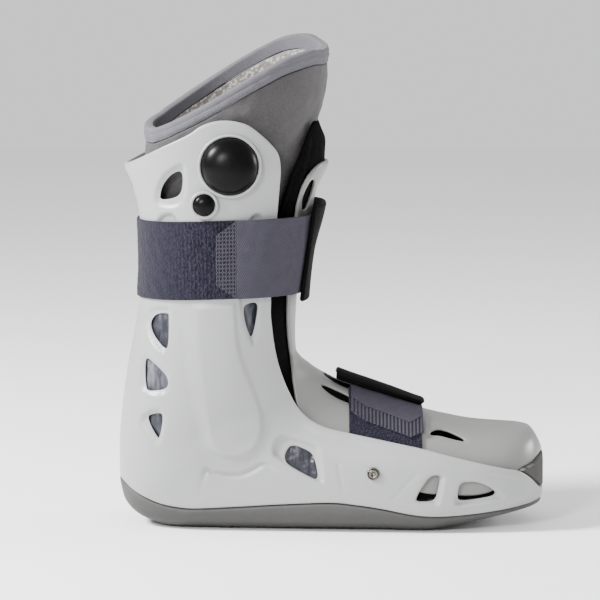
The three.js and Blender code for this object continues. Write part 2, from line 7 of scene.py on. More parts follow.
import bmesh
import bpy
import numpy as np
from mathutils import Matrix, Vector


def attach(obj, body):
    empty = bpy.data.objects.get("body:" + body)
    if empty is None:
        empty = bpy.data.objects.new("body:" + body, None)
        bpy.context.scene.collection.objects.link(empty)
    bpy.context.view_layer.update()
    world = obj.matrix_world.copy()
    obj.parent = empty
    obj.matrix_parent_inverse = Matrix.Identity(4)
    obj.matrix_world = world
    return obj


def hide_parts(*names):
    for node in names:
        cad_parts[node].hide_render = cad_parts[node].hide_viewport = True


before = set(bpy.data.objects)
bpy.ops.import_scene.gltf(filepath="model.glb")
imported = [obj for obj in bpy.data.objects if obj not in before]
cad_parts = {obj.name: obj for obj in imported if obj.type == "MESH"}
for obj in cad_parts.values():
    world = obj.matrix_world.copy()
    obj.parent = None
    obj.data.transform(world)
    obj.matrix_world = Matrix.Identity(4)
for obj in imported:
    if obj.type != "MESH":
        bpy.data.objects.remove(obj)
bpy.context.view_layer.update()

# Sizes, the same as the solids'
MM = 0.001
LENGTH = 297 * MM
HEIGHT = 285 * MM
CALF_WIDTH = 124 * MM
BALL_WIDTH = 112 * MM
GAP = 0.3 * MM
SHELL_WALL = 3 * MM
PANEL_GAP = 2.4 * MM
PANEL_WALL = 3 * MM
PANEL_INSET = SHELL_WALL + PANEL_GAP
PAD_INSET = PANEL_INSET + PANEL_WALL + GAP
PAD_THICKNESS = 4 * MM
CELL_THICKNESS = 5 * MM
LINER_SIDE = 12 * MM
LINER_REAR = 10.5 * MM
LINER_FRONT = 12 * MM
LINER_THICKNESS = 6 * MM
SOLE_PLATE = 3.5 * MM
BED_THICKNESS = 6 * MM
STRAP = 1.8 * MM
LAYER = STRAP + GAP
SHIN_STRAP_WIDTH = 54 * MM
SHIN_STRAP_SLOPE = math.tan(math.radians(2))
SHIN_STRAP_FORWARD = 1.5 * MM
SHIN_STRAP_SQUARE = 0.6
GUIDE = 3 * MM
BULB_RADIUS = 19.4 * MM
BULB_HEIGHT = 13 * MM
BULB_RING = BULB_RADIUS + GAP + 2 * MM
BUTTON_RADIUS = 7.2 * MM
BUTTON_HEIGHT = 5 * MM
BUTTON_RING = BUTTON_RADIUS + GAP + 2.2 * MM
BUTTON_TRAVEL = 1.5 * MM
RING_HEIGHT = 3 * MM
SUNK = 8 * MM
SCREW_RADIUS = 4.4 * MM
SOCKET_RADIUS = 1.5 * MM
RIM_LEAN = 0.13
BINDING = 11 * MM

# The walls and round edges that only the scene has
PAD_WALL = 3.4 * MM
SOLE_WALL = 7 * MM
GUARD_WALL = 8 * MM
BINDING_PROUD = 0.7 * MM
HARD_EDGE = 1.3 * MM
BAND_EDGE = 0.7 * MM
WELDED_EDGE = 0.15 * MM
PAD_LIP = 1.6 * MM
SOLE_EDGE = 1.5 * MM
CELL_LIP = 2.4 * MM
TURN = 2 * math.pi
SNAP_SHARE = 0.3
TINY = 1e-12
NO_LENGTH = 1e-7
NO_AREA = 1e-18
NOT_ZERO = 1e-30

# Sections of the boot, from above the shaft round the heel to the toe: front point and rear point as shares
# of length and height, half widths as shares of the calf's and the ball's, where the section is widest, and
# how square its rear and front halves are
SECTIONS = np.array([
    (0.276, 1.032, -0.236, 1.025, 1.01, 0, 0.5, 2.3, 2.3),
    (0.268, 0.891, -0.214, 0.891, 0.985, 0, 0.5, 2.3, 2.3),
    (0.241, 0.825, -0.19, 0.826, 0.96, 0, 0.5, 2.3, 2.3),
    (0.226, 0.758, -0.176, 0.754, 0.935, 0, 0.5, 2.3, 2.3),
    (0.204, 0.667, -0.173, 0.653, 0.91, 0, 0.5, 2.3, 2.3),
    (0.193, 0.561, -0.177, 0.554, 0.88, 0, 0.5, 2.3, 2.3),
    (0.189, 0.474, -0.19, 0.474, 0.855, 0, 0.5, 2.3, 2.3),
    (0.191, 0.428, -0.205, 0.393, 0.845, 0, 0.5, 2.4, 2.3),
    (0.202, 0.408, -0.219, 0.288, 0.83, 0, 0.5, 2.5, 2.3),
    (0.22, 0.393, -0.226, 0.196, 0.6, 0.23, 0.49, 2.6, 2.3),
    (0.242, 0.377, -0.226, 0.126, 0.4, 0.42, 0.48, 2.8, 2.3),
    (0.266, 0.368, -0.217, 0.07, 0.2, 0.63, 0.47, 3, 2.3),
    (0.29, 0.358, -0.192, 0.033, 0, 0.84, 0.46, 3.2, 2.3),
    (0.313, 0.349, -0.152, 0.011, 0, 0.84, 0.45, 3.5, 2.3),
    (0.337, 0.34, -0.101, -0.001, 0, 0.85, 0.44, 3.8, 2.3),
    (0.397, 0.316, 0.084, -0.002, 0, 0.895, 0.42, 4.2, 2.3),
    (0.491, 0.277, 0.354, -0.001, 0, 0.975, 0.42, 4.5, 2.5),
    (0.552, 0.261, 0.481, -0.004, 0, 1, 0.42, 4.5, 2.6),
    (0.613, 0.249, 0.579, 0.01, 0, 0.985, 0.42, 4.2, 2.7),
    (0.67, 0.244, 0.66, 0.027, 0, 0.93, 0.42, 4, 2.8),
    (0.71, 0.242, 0.714, 0.039, 0, 0.83, 0.43, 3.8, 2.8),
    (0.739, 0.237, 0.747, 0.047, 0, 0.68, 0.44, 3.6, 2.8),
    (0.76, 0.212, 0.766, 0.057, 0, 0.49, 0.46, 3.4, 2.8),
    (0.773, 0.175, 0.773, 0.086, 0, 0.25, 0.5, 3, 2.8),
    (0.7735, 0.14, 0.7735, 0.13, 0, 0.03, 0.5, 2, 2),
])
LINER_TOP = np.array([
    (0.264, 1.26, -0.12, 1.26, 0.87, 0, 0.5, 2.2, 2.2),
    (0.266, 1.15, -0.135, 1.15, 0.88, 0, 0.5, 2.2, 2.2),
    (0.261, 1.08, -0.15, 1.08, 0.89, 0, 0.5, 2.2, 2.2),
    (0.246, 1.01, -0.163, 1.01, 0.89, 0, 0.5, 2.2, 2.2),
])

# Outlines in side view, as shares of length and height
SHELL_TOP = [
    (-0.253, 0.868), (-0.202, 0.891), (-0.121, 0.933), (-0.057, 0.965), (-0.027, 0.986), (0.007, 0.998),
    (0.044, 0.999), (0.081, 0.989), (0.111, 0.967), (0.138, 0.94), (0.153, 0.916), (0.158, 0.881),
    (0.155, 0.832), (0.15, 0.765), (0.136, 0.565), (0.139, 0.491), (0.149, 0.425), (0.163, 0.375),
    (0.177, 0.339), (0.195, 0.305), (0.222, 0.276), (0.259, 0.256), (0.316, 0.242), (0.394, 0.226),
    (0.485, 0.207), (0.545, 0.191), (0.623, 0.171), (0.68, 0.157), (0.712, 0.149), (0.739, 0.13),
    (0.761, 0.106), (0.771, 0.098), (0.825, 0.096)]
SOLE_LINE = [
    (-0.286, 0.154), (-0.242, 0.13), (-0.215, 0.111), (-0.192, 0.094), (-0.16, 0.077), (-0.128, 0.065),
    (-0.094, 0.058), (-0.047, 0.055), (0.051, 0.061), (0.148, 0.068), (0.269, 0.074), (0.337, 0.068),
    (0.394, 0.059), (0.451, 0.047), (0.502, 0.041), (0.566, 0.042), (0.643, 0.049), (0.721, 0.06),
    (0.761, 0.069), (0.825, 0.084)]
PANEL_EDGE = [
    (0.3, 0.893), (0.257, 0.891), (0.232, 0.873), (0.21, 0.839), (0.196, 0.795), (0.191, 0.758),
    (0.18, 0.667), (0.173, 0.561), (0.175, 0.472), (0.182, 0.404), (0.186, 0.352), (0.195, 0.295),
    (0.215, 0.253), (0.259, 0.225), (0.316, 0.211), (0.394, 0.193), (0.435, 0.165), (0.465, 0.105),
    (0.54, 0.092), (0.62, 0.092), (0.67, 0.112), (0.712, 0.149), (0.741, 0.161), (0.77, 0.18),
    (0.825, 0.196)]
PAD_EDGE = [
    (0.3, 0.998), (0.241, 0.998), (0.21, 0.934), (0.196, 0.898), (0.179, 0.853), (0.161, 0.798),
    (0.148, 0.755), (0.128, 0.667), (0.118, 0.561), (0.118, 0.474), (0.131, 0.386), (0.162, 0.309),
    (0.209, 0.239), (0.316, 0.196), (0.438, 0.175), (0.606, 0.147), (0.626, 0.3)]
CELL_EDGE = [
    (-0.15, 0.79), (0.1, 0.79), (0.108, 0.561), (0.11, 0.474), (0.12, 0.386), (0.15, 0.29), (0.21, 0.22),
    (0.28, 0.2), (0.285, 0.115), (-0.1, 0.115), (-0.16, 0.2), (-0.165, 0.4)]
RIM_LINE = [
    (-0.24, 0.982), (-0.158, 0.986), (-0.125, 1), (-0.071, 1.032), (0, 1.074), (0.074, 1.119),
    (0.148, 1.158), (0.185, 1.172), (0.232, 1.181), (0.263, 1.174), (0.34, 1.158)]
WINDOWS = {
    "calf": [(-0.127, 0.811), (-0.12, 0.84), (-0.102, 0.865), (-0.084, 0.877), (-0.072, 0.876),
        (-0.07, 0.851), (-0.076, 0.821), (-0.095, 0.81), (-0.123, 0.805)],
    "rear_high": [(-0.152, 0.504), (-0.146, 0.521), (-0.133, 0.531), (-0.11, 0.533), (-0.105, 0.527),
        (-0.105, 0.451), (-0.115, 0.447), (-0.133, 0.464), (-0.146, 0.482)],
    "rear_middle": [(-0.163, 0.417), (-0.157, 0.423), (-0.106, 0.38), (-0.106, 0.35), (-0.152, 0.342),
        (-0.164, 0.35)],
    "rear_low": [(-0.158, 0.28), (-0.148, 0.286), (-0.124, 0.291), (-0.119, 0.285), (-0.122, 0.253),
        (-0.129, 0.226), (-0.134, 0.231), (-0.15, 0.257)],
    "shin": [(0.071, 0.548), (0.08, 0.558), (0.103, 0.561), (0.105, 0.546), (0.096, 0.491), (0.09, 0.474),
        (0.083, 0.487), (0.074, 0.517)],
    "arch": [(0.163, 0.183), (0.17, 0.204), (0.184, 0.216), (0.221, 0.2), (0.232, 0.189), (0.242, 0.144),
        (0.239, 0.131), (0.232, 0.132), (0.171, 0.166)],
    "ball": [(0.468, 0.086), (0.485, 0.119), (0.502, 0.142), (0.519, 0.145), (0.525, 0.138), (0.516, 0.087),
        (0.504, 0.079), (0.472, 0.08)],
    "toe": [(0.565, 0.091), (0.569, 0.119), (0.579, 0.128), (0.615, 0.127), (0.65, 0.107), (0.655, 0.097),
        (0.646, 0.089), (0.57, 0.079)],
}
RECESSES = [
    [(-0.071, 0.902), (-0.114, 0.873), (-0.135, 0.83), (-0.139, 0.787), (-0.074, 0.787), (-0.057, 0.83),
     (-0.059, 0.885)],
    [(-0.164, 0.511), (-0.158, 0.538), (-0.136, 0.548), (-0.102, 0.55), (-0.097, 0.538), (-0.103, 0.426),
     (-0.151, 0.461)],
    [(-0.17, 0.433), (-0.151, 0.432), (-0.103, 0.391), (-0.101, 0.371), (-0.103, 0.34), (-0.144, 0.331),
     (-0.179, 0.346), (-0.173, 0.387)],
    [(-0.174, 0.278), (-0.148, 0.301), (-0.119, 0.299), (-0.111, 0.278), (-0.119, 0.227), (-0.13, 0.206),
     (-0.145, 0.219), (-0.178, 0.27)],
    [(0.057, 0.6), (0.059, 0.566), (0.068, 0.505), (0.093, 0.447), (0.104, 0.478), (0.112, 0.566),
     (0.112, 0.6)],
    [(0.135, 0.208), (0.148, 0.235), (0.17, 0.239), (0.24, 0.214), (0.248, 0.196), (0.257, 0.13),
     (0.252, 0.12), (0.226, 0.128), (0.144, 0.18), (0.137, 0.188)],
    [(0.458, 0.075), (0.495, 0.149), (0.529, 0.148), (0.536, 0.14), (0.523, 0.069), (0.516, 0.068)],
    [(0.554, 0.072), (0.571, 0.13), (0.585, 0.134), (0.636, 0.128), (0.677, 0.087), (0.674, 0.078),
     (0.578, 0.065)],
    [(-0.136, 0.773), (-0.078, 0.782), (-0.078, 0.69), (-0.136, 0.69)],
    [(0.082, 0.761), (0.091, 0.776), (0.119, 0.78), (0.115, 0.69), (0.082, 0.69)],
]
PLATEAU = [
    (-0.075, 0.62), (-0.075, 0.569), (-0.069, 0.4), (-0.032, 0.21), (-0.003, 0.19), (0.037, 0.178),
    (0.074, 0.184), (0.093, 0.195), (0.113, 0.227), (0.117, 0.265), (0.108, 0.316), (0.082, 0.381),
    (0.057, 0.459), (0.053, 0.571), (0.053, 0.62)]
CREASES = [[(0.416, 0.086), (0.468, 0.144)], [(0.289, 0.169), (0.293, 0.14), (0.3, 0.108)]]
GROOVE = [
    (-0.036, 0.094), (-0.018, 0.152), (-0.003, 0.146), (0.037, 0.14), (0.067, 0.142), (0.093, 0.154),
    (0.117, 0.166), (0.152, 0.148)]
PANEL_SLOTS = [
    [(0.243, 0.384), (0.29, 0.367), (0.33, 0.346), (0.33, 0.336), (0.29, 0.351)],
    [(0.246, 0.353), (0.277, 0.34), (0.318, 0.32), (0.337, 0.305), (0.316, 0.308), (0.277, 0.325)],
    [(0.503, 0.24), (0.522, 0.246), (0.549, 0.24), (0.592, 0.22), (0.557, 0.227), (0.526, 0.236),
     (0.506, 0.236)],
    [(0.235, 0.853), (0.218, 0.825), (0.209, 0.796), (0.212, 0.768), (0.225, 0.803), (0.234, 0.833)],
]


def drawn(table):
    """A table of shares as points in metres."""
    return np.array(table) * (LENGTH, HEIGHT)


def through(points, steps=6):
    """A smooth line through points: a Catmull-Rom cubic between each pair, cut into steps."""
    ends = np.vstack([2 * points[0] - points[1], points, 2 * points[-1] - points[-2]])
    a, b, c, d = (ends[i:len(ends) - 3 + i, None] for i in range(4))
    t = np.linspace(0, 1, steps, endpoint=False)[None, :, None]
    curve = b + 0.5 * t * (c - a + t * (2 * a - 5 * b + 4 * c - d + t * (3 * (b - c) + d - a)))
    return np.vstack([curve.reshape(-1, 2), points[-1:]])


def rounded(points, times=3):
    """A closed outline with its corners cut at a quarter of each side, several times, which rounds them."""
    for _ in range(times):
        after = np.roll(points, -1, 0)
        points = np.stack([0.75 * points + 0.25 * after, 0.25 * points + 0.75 * after], 1).reshape(-1, 2)
    return points


def doubled(line):
    """A line there and back: an outline with nothing inside."""
    return np.vstack([line, line[::-1]])


def distance_to(outline, x, z):
    """Signed distance in side view to a closed outline, negative inside. The nearest point of each side is
    found by clamped projection, and the sign comes from counting the sides that a ray along x crosses."""
    flat_x, flat_z = np.ravel(x), np.ravel(z)
    nearest = np.full(flat_x.shape, np.inf)
    is_inside = np.zeros(flat_x.shape, bool)
    for (ax, az), (bx, bz) in zip(outline, np.roll(outline, -1, 0)):
        ex, ez = bx - ax, bz - az
        share = np.clip(((flat_x - ax) * ex + (flat_z - az) * ez) / (ex * ex + ez * ez + NO_AREA), 0, 1)
        nearest = np.minimum(nearest, (flat_x - ax - share * ex) ** 2 + (flat_z - az - share * ez) ** 2)
        if ez:
            crosses = (az > flat_z) != (bz > flat_z)
            is_inside ^= crosses & (flat_x < ax + (flat_z - az) * ex / ez)
    return np.where(is_inside, -1, 1).reshape(np.shape(x)) * np.sqrt(nearest).reshape(np.shape(x))


def above(line, x, z):
    """Signed distance to a line across the boot in side view, negative above it."""
    outline = np.vstack([line, [(line[-1, 0], 9 * HEIGHT), (line[0, 0], 9 * HEIGHT)]])
    return distance_to(outline, x, z)


def fade(x, low, high):
    """0 at low, 1 at high and a smooth S between: 3t squared less 2t cubed."""
    t = np.clip((x - low) / (high - low), 0, 1)
    return t * t * (3 - 2 * t)


def bell(apart, width):
    """1 at a line and less away from it: e to minus the square of the distance over a width."""
    return np.exp(-(apart / width) ** 2)


def measured(shares):
    """Sections in metres: front point, rear point, half width, middle, rear power, front power."""
    width = (shares[:, 4] * CALF_WIDTH + shares[:, 5] * BALL_WIDTH) / 2
    return np.column_stack([shares[:, :4] * (LENGTH, HEIGHT, LENGTH, HEIGHT), width, shares[:, 6:]])


def drawn_in(table, side, front, rear):
    """The same sections drawn in: each end point moves along the section, and the widest place stays
    put."""
    result = table.copy()
    run = table[:, 0:2] - table[:, 2:4]
    depth = np.linalg.norm(run, axis=1)
    run /= depth[:, None]
    result[:, 0:2] -= run * front
    result[:, 2:4] += run * rear
    result[:, 4] = np.maximum(table[:, 4] - side, 0.3 * MM)
    result[:, 5] = (table[:, 5] * depth - rear) / (depth - front - rear)
    return result


def summed(steps, axis=0):
    """Running totals of steps along an axis, from 0."""
    return np.insert(np.cumsum(steps, axis), 0, 0, axis)


def spread(table, rows):
    """Rows of a table at even steps along it, on a cubic whose slopes at the table's rows never
    overshoot."""
    moves = np.diff(table[:, :4], axis=0)
    step = (np.linalg.norm(moves[:, :2], axis=1) + np.linalg.norm(moves[:, 2:], axis=1)) / 2
    place = summed(step)
    slope = np.diff(table, axis=0) / step[:, None]
    product, total = slope[:-1] * slope[1:], slope[:-1] + slope[1:]
    inner = np.where(product > 0, 2 * product / np.where(total == 0, 1, total), 0)
    tangent = np.vstack([slope[:1], inner, slope[-1:]])
    at = np.linspace(0, place[-1], rows)
    k = np.clip(np.searchsorted(place, at, side="right") - 1, 0, len(step) - 1)
    h = step[k][:, None]
    t = ((at - place[k]) / step[k])[:, None]
    return ((1 + 2 * t) * (1 - t) ** 2 * table[k] + t * (1 - t) ** 2 * h * tangent[k]
            + t * t * (3 - 2 * t) * table[k + 1] + t * t * (t - 1) * h * tangent[k + 1])


def rings(table, columns):
    """Points on sections. Half an outline is a superellipse: reach is the rear or front depth times a power
    of the cosine, and width the half width times a power of the sine. Points run along it from the rear
    over the left side to the front, and back over the right, closer together at the sides: at a share t of
    the half outline plus 0.4 sin(2 pi t) / 2 pi."""
    run = table[:, 0:2] - table[:, 2:4]
    depth = np.linalg.norm(run, axis=1)
    run /= depth[:, None]
    middle = depth * table[:, 5]
    angle = np.linspace(0, math.pi, 721)[None]
    is_rear = angle < math.pi / 2
    power = 2 / np.where(is_rear, table[:, 6:7], table[:, 7:8])
    reach = middle[:, None] + np.where(is_rear, -middle[:, None], (depth - middle)[:, None]) \
        * np.abs(np.cos(angle)) ** power
    out = table[:, 4:5] * np.sin(angle).clip(0) ** power
    length = summed(np.hypot(np.diff(reach), np.diff(out)), 1)
    half = columns // 2
    share = np.linspace(0, 1, half + 1)
    share += 0.4 * np.sin(TURN * share) / TURN
    reach, out = along_rows(length / length[:, -1:], (reach, out), share)
    out[:, 0] = out[:, -1] = 0
    points = np.empty((len(reach), columns, 3))
    points[:, :half + 1, 1], points[:, half:, 1] = out, -out[:, :0:-1]
    reach = np.concatenate([reach, reach[:, -2:0:-1]], 1)
    points[..., 0] = table[:, 2:3] + run[:, :1] * reach
    points[..., 2] = table[:, 3:4] + run[:, 1:] * reach
    return points


def along_rows(known, grids, wanted):
    """Reads grids row by row where known, which grows along each row, has the wanted values. Every row is
    moved past the one before it, so that one interpolation serves them all."""
    low, high = known.min(), known.max()
    row = 2 * np.arange(len(known))[:, None]
    scaled = ((known - low) / (high - low) + row).ravel()
    wanted = np.broadcast_to(wanted, (len(known), np.shape(wanted)[-1]))
    at = (np.clip((wanted - low) / (high - low), 0, 1) + row).ravel()
    return [np.interp(at, scaled, grid.ravel()).reshape(wanted.shape) for grid in grids]


def outward(points):
    """Unit normals of a grid that is closed round its columns: the cross product of its differences along
    columns and rows."""
    normal = np.cross(np.roll(points, -1, 1) - np.roll(points, 1, 1), np.gradient(points, axis=0))
    size = np.linalg.norm(normal, axis=-1, keepdims=True)
    return np.where(size > TINY, normal / np.maximum(size, TINY), (1.0, 0, 0))


def cut(distance):
    """The cells of a grid, closed round its columns, where distance is negative, cut along its zero line. A
    corner near the line moves onto it, and each cell keeps the polygon between its inner corners and its
    crossings. Returns the places of the points in rows and columns, and the faces as corner numbers, 4 or 3
    to a face."""
    rows, columns = distance.shape
    row, column = np.meshgrid(np.arange(rows, dtype=float), np.arange(columns, dtype=float), indexing="ij")
    inside = distance < 0
    ahead = np.roll(distance, -1, 1)
    t_across = np.where(inside != (ahead < 0), distance / (distance - ahead + NOT_ZERO), np.inf)
    below = np.vstack([distance[1:], np.full((1, columns), np.nan)])
    is_crossed = (inside != (below < 0)) & ~np.isnan(below)
    t_down = np.where(is_crossed, distance / (distance - below + NOT_ZERO), np.inf)
    reach = np.stack([t_across, 1 - np.roll(t_across, 1, 1), t_down,
                      1 - np.vstack([np.full((1, columns), np.inf), t_down[:-1]])])
    reach = np.where(np.isfinite(reach), np.abs(reach), np.inf)
    nearest, best = reach.min(0), reach.argmin(0)
    is_snapped = nearest < SNAP_SHARE
    shift = np.where(is_snapped, nearest, 0)
    column += shift * ((best == 0) * 1.0 - (best == 1))
    row += shift * ((best == 2) * 1.0 - (best == 3))
    inside &= ~is_snapped
    number = np.arange(rows * columns).reshape(rows, columns)

    def crossing(first, second, first_number):
        return np.where(is_snapped[first], number[first],
                        np.where(is_snapped[second], number[second], first_number))

    r, c = (grid[:-1].ravel() for grid in np.meshgrid(np.arange(rows), np.arange(columns), indexing="ij"))
    after = (c + 1) % columns
    corner = [(r, c), (r, after), (r + 1, after), (r + 1, c)]
    size = rows * columns
    edge_number = [size + number[r, c], 2 * size + number[r, after],
                   size + number[r + 1, c], 2 * size + number[r, c]]
    ids = [number[place] for place in corner]
    flags = [inside[place] for place in corner]
    between = [crossing(corner[i], corner[(i + 1) % 4], edge_number[i]) for i in range(4)]
    code = sum(flag.astype(int) << i for i, flag in enumerate(flags))
    full = code == 15
    quads = np.stack([i[full] for i in ids], 1)
    triangles = []
    for case in range(1, 15):
        pick = code == case
        if not pick.any():
            continue
        loop = []
        for i in range(4):
            here, then = case >> i & 1, case >> (i + 1) % 4 & 1
            if here:
                loop.append(ids[i][pick])
            if here != then:
                loop.append(between[i][pick])
        for i in range(1, len(loop) - 1):
            triangles.append(np.stack([loop[0], loop[i], loop[i + 1]], 1))
    triangles = np.vstack(triangles) if triangles else np.empty((0, 3), int)
    triangles = triangles[(triangles != np.roll(triangles, 1, 1)).all(1)]
    used, renumbered = np.unique(np.concatenate([quads.ravel(), triangles.ravel()]), return_inverse=True)
    kind, index = used // size, used % size
    place_row, place_column = row.ravel()[index], column.ravel()[index]
    base_row, base_column = index // columns * 1.0, index % columns * 1.0
    t_a, t_d = (np.where(np.isfinite(t), t, 0) for t in (t_across.ravel()[index], t_down.ravel()[index]))
    place_row = np.where(kind == 2, base_row + t_d, np.where(kind == 1, base_row, place_row))
    place_column = np.where(kind == 1, base_column + t_a, np.where(kind == 2, base_column, place_column))
    quads = renumbered[:quads.size].reshape(-1, 4)
    triangles = renumbered[quads.size:].reshape(-1, 3)
    return np.stack([place_row, place_column], 1), quads, triangles


def read(grid, places):
    """Values of a grid, closed round its columns, at places between its points, blended from the four round
    each."""
    rows, columns = grid.shape[:2]
    r0 = np.clip(np.floor(places[:, 0]).astype(int), 0, rows - 2)
    c0 = np.floor(places[:, 1]).astype(int)
    t, s = (places[:, 0] - r0), (places[:, 1] - c0)
    if grid.ndim == 3:
        t, s = t[:, None], s[:, None]
    c0, c1 = c0 % columns, (c0 + 1) % columns
    return ((1 - t) * ((1 - s) * grid[r0, c0] + s * grid[r0, c1])
            + t * ((1 - s) * grid[r0 + 1, c0] + s * grid[r0 + 1, c1]))


def unit(vectors):
    return vectors / np.maximum(np.linalg.norm(vectors, axis=-1, keepdims=True), TINY)


def open_edges(quads, triangles):
    """The edges that only one face has, as pairs of corners in that face's own direction."""
    pairs = np.vstack([np.stack([faces[:, i], np.roll(faces, -1, 1)[:, i]], 1)
                       for faces in (quads, triangles) for i in range(faces.shape[1])])
    key = np.sort(pairs, 1) @ np.array([2 ** 32, 1])
    _, first, count = np.unique(key, return_index=True, return_counts=True)
    return pairs[first[count == 1]]


def closed_sheet(outer, inner, quads, triangles, lip, steps=6):
    """Closes two matching surfaces along their open edges. The rim's rings lie on half an ellipse: halfway
    between the two surfaces, plus half their distance times a cosine, plus the lip outwards times a sine.
    The lip is one width, or gives one for each point. Returns vertices, faces and the outer corner that
    each vertex comes from."""
    count = len(outer)
    edges = open_edges(quads, triangles)
    edges = edges[np.linalg.norm(outer[edges[:, 0]] - outer[edges[:, 1]], axis=1) > NO_LENGTH]
    ends, renumbered = np.unique(edges.ravel(), return_inverse=True)
    a, b = renumbered.reshape(-1, 2).T
    top, bottom = outer[ends], inner[ends]
    normal = unit(top - bottom)
    side = np.cross(outer[edges[:, 1]] - outer[edges[:, 0]], normal[a])
    out = np.zeros_like(top)
    np.add.at(out, a, side)
    np.add.at(out, b, side)
    out = unit(out - normal * (out * normal).sum(1, keepdims=True))
    reach = (lip(top) if callable(lip) else np.full(len(ends), lip))[:, None]
    rim, numbers = [], [ends]
    for k in range(1, steps):
        angle = math.pi * k / steps
        rim.append((top + bottom) / 2 + (top - bottom) / 2 * math.cos(angle) + out * reach * math.sin(angle))
        numbers.append(2 * count + (k - 1) * len(ends) + np.arange(len(ends)))
    numbers.append(count + ends)
    vertices = np.vstack([outer, inner] + rim)
    source = np.concatenate([np.arange(count), np.arange(count)] + [ends] * (steps - 1))
    rim_quads = [np.stack([first[b], first[a], second[a], second[b]], 1)
                 for first, second in zip(numbers[:-1], numbers[1:])]
    return vertices, [np.vstack([quads, quads[:, ::-1] + count] + rim_quads),
                      np.vstack([triangles, triangles[:, ::-1] + count])], source


def add_object(name, data):
    piece = bpy.data.objects.new(name, data)
    bpy.context.collection.objects.link(piece)
    return piece


def solid(name, vertices, faces, uv=None, values=None):
    """A smooth mesh object from vertices and arrays of faces, welded where points coincide. The uv and the
    named values have one entry for each vertex."""
    mesh = bpy.data.meshes.new(name)
    sizes = np.concatenate([np.full(len(f), f.shape[1]) for f in faces])
    loops = np.concatenate([f.ravel() for f in faces])
    mesh.vertices.add(len(vertices))
    mesh.vertices.foreach_set("co", np.ascontiguousarray(vertices, dtype=np.float32).ravel())
    mesh.loops.add(len(loops))
    mesh.loops.foreach_set("vertex_index", loops.astype(np.int32))
    mesh.polygons.add(len(sizes))
    mesh.polygons.foreach_set("loop_start", (np.cumsum(sizes) - sizes).astype(np.int32))
    if uv is not None:
        layer = mesh.uv_layers.new(name="cloth")
        layer.data.foreach_set("uv", np.ascontiguousarray(uv[loops], dtype=np.float32).ravel())
    for key, value in (values or {}).items():
        mesh.attributes.new(key, "FLOAT", "POINT").data.foreach_set("value", value.astype(np.float32))
    mesh.update(calc_edges=True)
    work = bmesh.new()
    work.from_mesh(mesh)
    bmesh.ops.remove_doubles(work, verts=work.verts, dist=2e-6)
    work.to_mesh(mesh)
    work.free()
    mesh.validate()
    mesh.polygons.foreach_set("use_smooth", np.full(len(mesh.polygons), True))
    return add_object(name, mesh)


ROWS, COLUMNS = 300, 280
boot_sections = measured(SECTIONS)


def skin(side=0.0, front=0.0, rear=0.0, sections=boot_sections, rows=ROWS, columns=COLUMNS,
         low=-1.0, high=1.0):
    """The boot's form, drawn in, as a grid of points and normals, between two heights and closed at the
    toe."""
    table = spread(drawn_in(sections, side, front, rear), rows)
    is_kept = (np.maximum(table[:, 1], table[:, 3]) > low) & (np.minimum(table[:, 1], table[:, 3]) < high)
    points = rings(table[is_kept], columns)
    if is_kept[-1]:
        points[-1] = points[-1].mean(0)
    return points, outward(points)


def walled(name, grid, distance, wall, lip, relief=None, steps=6):
    """A wall on the form wherever distance(points) is negative: its outer face is the form less the relief,
    its inner face lies a wall's thickness under that, and its edge is round. Its uv is the way round from
    the rear and the way along the rows, and its value inside is 1 on the inner face."""
    points, normals = grid
    places, quads, triangles = cut(distance(points) + (lip(points) if callable(lip) else lip))
    outer, normal = read(points, places), unit(read(normals, places))
    half = points.shape[1] // 2
    step = np.linalg.norm(np.diff(points[:, :half + 1], axis=1), axis=-1)
    way = summed(step, 1)
    way = np.concatenate([way, way[:, -2:0:-1]], 1)
    down = summed(np.linalg.norm(np.diff(points, axis=0), axis=-1))
    uv = read(np.stack([way, down], -1), places)
    face = outer - normal * relief(outer, uv)[:, None] if relief else outer
    vertices, faces, source = closed_sheet(face, outer - normal * wall, quads, triangles, lip, steps)
    inside = np.where(np.arange(len(source)) // len(outer) == 1, 1.0, 0.0)
    return solid(name, vertices, faces, uv[source], {"inside": inside})


